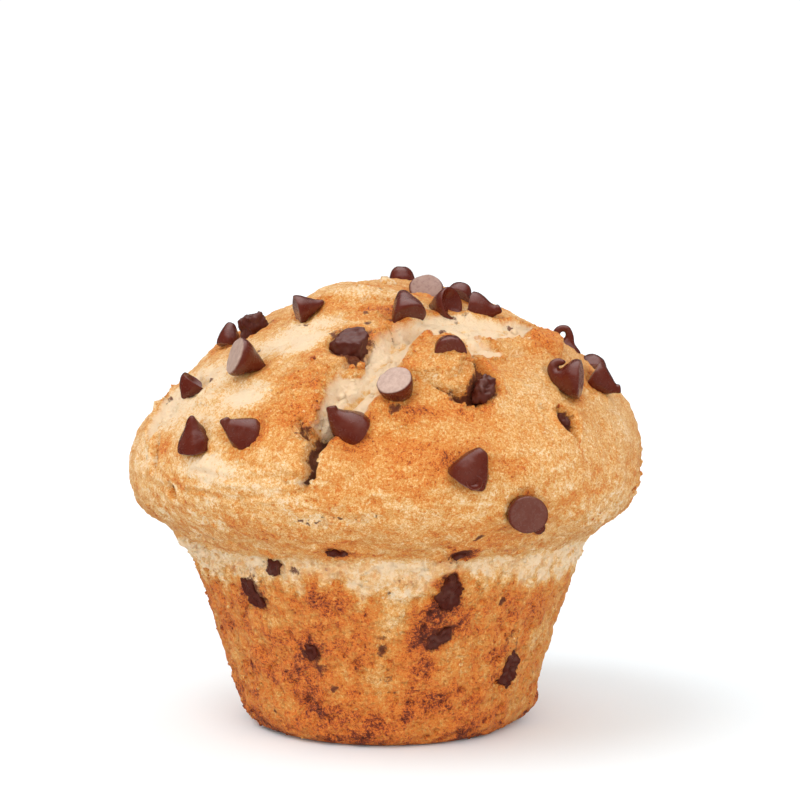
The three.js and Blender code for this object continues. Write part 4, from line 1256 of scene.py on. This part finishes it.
FLOOR_SIZE, FLOOR_CUTS = 6.0, 3     # width of the floor in metres, and how often it is divided
KEY_FROM = (-0.47, -0.25, 0.85)     # the side that the key light comes from
FILL_FROM, FILL_SPREAD = (0.16, -1.0, 0.20), math.radians(60)
SKY_HORIZON, SKY_ZENITH = 1.66, 0.56     # how bright the surroundings are at the horizon and overhead
SEEN_WHITE = 1.05                   # how bright the white surroundings look from the camera
SHINE_FLOOR, SHINE_CEILING = 0.12, 3.2   # how bright they look in a shiny face, low down and overhead
SHINE_FROM, SHINE_TO = 0.60, 0.95   # how high a shiny face looks where the one passes into the other


def lay_floor():
    put_down_everything()
    bpy.ops.mesh.primitive_plane_add(size=FLOOR_SIZE, location=(0, 0, 0))
    floor = bpy.context.object
    bpy.ops.object.mode_set(mode="EDIT")
    bpy.ops.mesh.subdivide(number_cuts=FLOOR_CUTS)
    bpy.ops.object.mode_set(mode="OBJECT")
    floor.name = "floor"
    floor.data.materials.append(floor_finish())
    floor.visible_glossy = False


def paint_surroundings(strength):
    """White surroundings: plain to the camera, brighter low down as light, bright overhead in shiny faces."""
    world = bpy.data.worlds.new("white room")
    world.use_nodes = True
    bpy.context.scene.world = world
    nodes, links = world.node_tree.nodes, world.node_tree.links
    sky = nodes["Background"]
    seen, shine = nodes.new("ShaderNodeBackground"), nodes.new("ShaderNodeBackground")
    for background in (sky, seen, shine):
        background.inputs["Color"].default_value = (1, 1, 1, 1)
    seen.inputs["Strength"].default_value = SEEN_WHITE
    direction, split = nodes.new("ShaderNodeTexCoord"), nodes.new("ShaderNodeSeparateXYZ")
    links.new(direction.outputs["Generated"], split.inputs["Vector"])
    for background, numbers in ((shine, (SHINE_FROM, SHINE_TO, SHINE_FLOOR, SHINE_CEILING)),
                                (sky, (0.0, 1.0, SKY_HORIZON * strength, SKY_ZENITH * strength))):
        height = nodes.new("ShaderNodeMapRange")
        links.new(split.outputs["Z"], height.inputs["Value"])
        for name, number in zip(("From Min", "From Max", "To Min", "To Max"), numbers):
            height.inputs[name].default_value = number
        links.new(height.outputs["Result"], background.inputs["Strength"])
    path = nodes.new("ShaderNodeLightPath")
    glossy, mix = nodes.new("ShaderNodeMixShader"), nodes.new("ShaderNodeMixShader")
    links.new(path.outputs["Is Glossy Ray"], glossy.inputs["Fac"])
    links.new(sky.outputs[0], glossy.inputs[1])
    links.new(shine.outputs[0], glossy.inputs[2])
    links.new(path.outputs["Is Camera Ray"], mix.inputs["Fac"])
    links.new(glossy.outputs[0], mix.inputs[1])
    links.new(seen.outputs[0], mix.inputs[2])
    links.new(mix.outputs[0], nodes["World Output"].inputs["Surface"])


def hang_light(name, side, strength, spread):
    """A large soft light far off on one side, which shiny faces don't mirror."""
    bpy.ops.object.light_add(type="SUN", location=side)
    light = bpy.context.object
    light.name = name
    light.data.energy = strength
    light.data.angle = spread
    light.rotation_euler = (-Vector(side)).to_track_quat("-Z", "Y").to_euler()
    light.visible_glossy = False


def stand_camera(stage):
    camera = bpy.data.objects.new("camera", bpy.data.cameras.new("camera"))
    bpy.context.scene.collection.objects.link(camera)
    camera.location = (stage.camera_aside, -stage.camera_distance, stage.camera_height)
    camera.rotation_euler = (math.pi / 2 - stage.camera_pitch, 0, 0)
    camera.data.sensor_width = 36
    camera.data.lens = stage.lens
    camera.data.clip_start = 0.01
    bpy.context.scene.camera = camera
    bpy.context.scene.view_settings.view_transform = "Standard"


def set_stage():
    stage = bpy.context.scene.muffin_stage
    lay_floor()
    paint_surroundings(stage.sky)
    hang_light("key", KEY_FROM, stage.key_strength, stage.key_spread)
    hang_light("fill", FILL_FROM, stage.fill_strength, FILL_SPREAD)
    stand_camera(stage)


# ------------------------------------------------------------------------------------ operators


class MUFFIN_OT_crumb(bpy.types.Operator):
    """Bakes the cup and crown of crumb with their crust"""
    bl_idname = "muffin.crumb"
    bl_label = "Crumb"

    def execute(self, context):
        bake_crumb()
        return {"FINISHED"}


class MUFFIN_OT_crumbs(bpy.types.Operator):
    """Sticks small crumbs to the crumbly parts of the crust"""
    bl_idname = "muffin.crumbs"
    bl_label = "Crumbs"

    def execute(self, context):
        scatter_crumbs()
        return {"FINISHED"}


class MUFFIN_OT_chips(bpy.types.Operator):
    """Sets the chocolate chips into the crumb"""
    bl_idname = "muffin.chips"
    bl_label = "Chips"

    def execute(self, context):
        place_chips()
        return {"FINISHED"}


class MUFFIN_OT_chunks(bpy.types.Operator):
    """Sets the broken chunks of chocolate into the crumb"""
    bl_idname = "muffin.chunks"
    bl_label = "Chunks"

    def execute(self, context):
        place_chunks()
        return {"FINISHED"}


class MUFFIN_OT_stage(bpy.types.Operator):
    """Sets the floor, the light and the camera"""
    bl_idname = "muffin.stage"
    bl_label = "Stage"

    def execute(self, context):
        set_stage()
        return {"FINISHED"}


class MUFFIN_PT_panel(bpy.types.Panel):
    """Lists the muffin's pieces"""
    bl_idname = "MUFFIN_PT_panel"
    bl_label = "Muffin"
    bl_space_type = "VIEW_3D"
    bl_region_type = "UI"
    bl_category = "Muffin"

    def draw(self, context):
        for operator in OPERATORS:
            self.layout.operator(operator.bl_idname)


SETTINGS = {"muffin_dough": MuffinDough, "muffin_chocolate": MuffinChocolate,
            "muffin_colours": MuffinColours, "muffin_stage": MuffinStage}
OPERATORS = [MUFFIN_OT_crumb, MUFFIN_OT_crumbs, MUFFIN_OT_chips, MUFFIN_OT_chunks, MUFFIN_OT_stage]


def register():
    for group in SETTINGS.values():
        bpy.utils.register_class(group)
    for name, group in SETTINGS.items():
        setattr(bpy.types.Scene, name, PointerProperty(type=group))
    for made in [*OPERATORS, MUFFIN_PT_panel]:
        bpy.utils.register_class(made)


def unregister():
    for made in [MUFFIN_PT_panel, *reversed(OPERATORS)]:
        bpy.utils.unregister_class(made)
    for name, group in SETTINGS.items():
        delattr(bpy.types.Scene, name)
        bpy.utils.unregister_class(group)


def main():
    register()
    bpy.ops.muffin.crumb()
    bpy.ops.muffin.crumbs()
    bpy.ops.muffin.chips()
    bpy.ops.muffin.chunks()
    bpy.ops.muffin.stage()


if __name__ == "__main__":
    main()
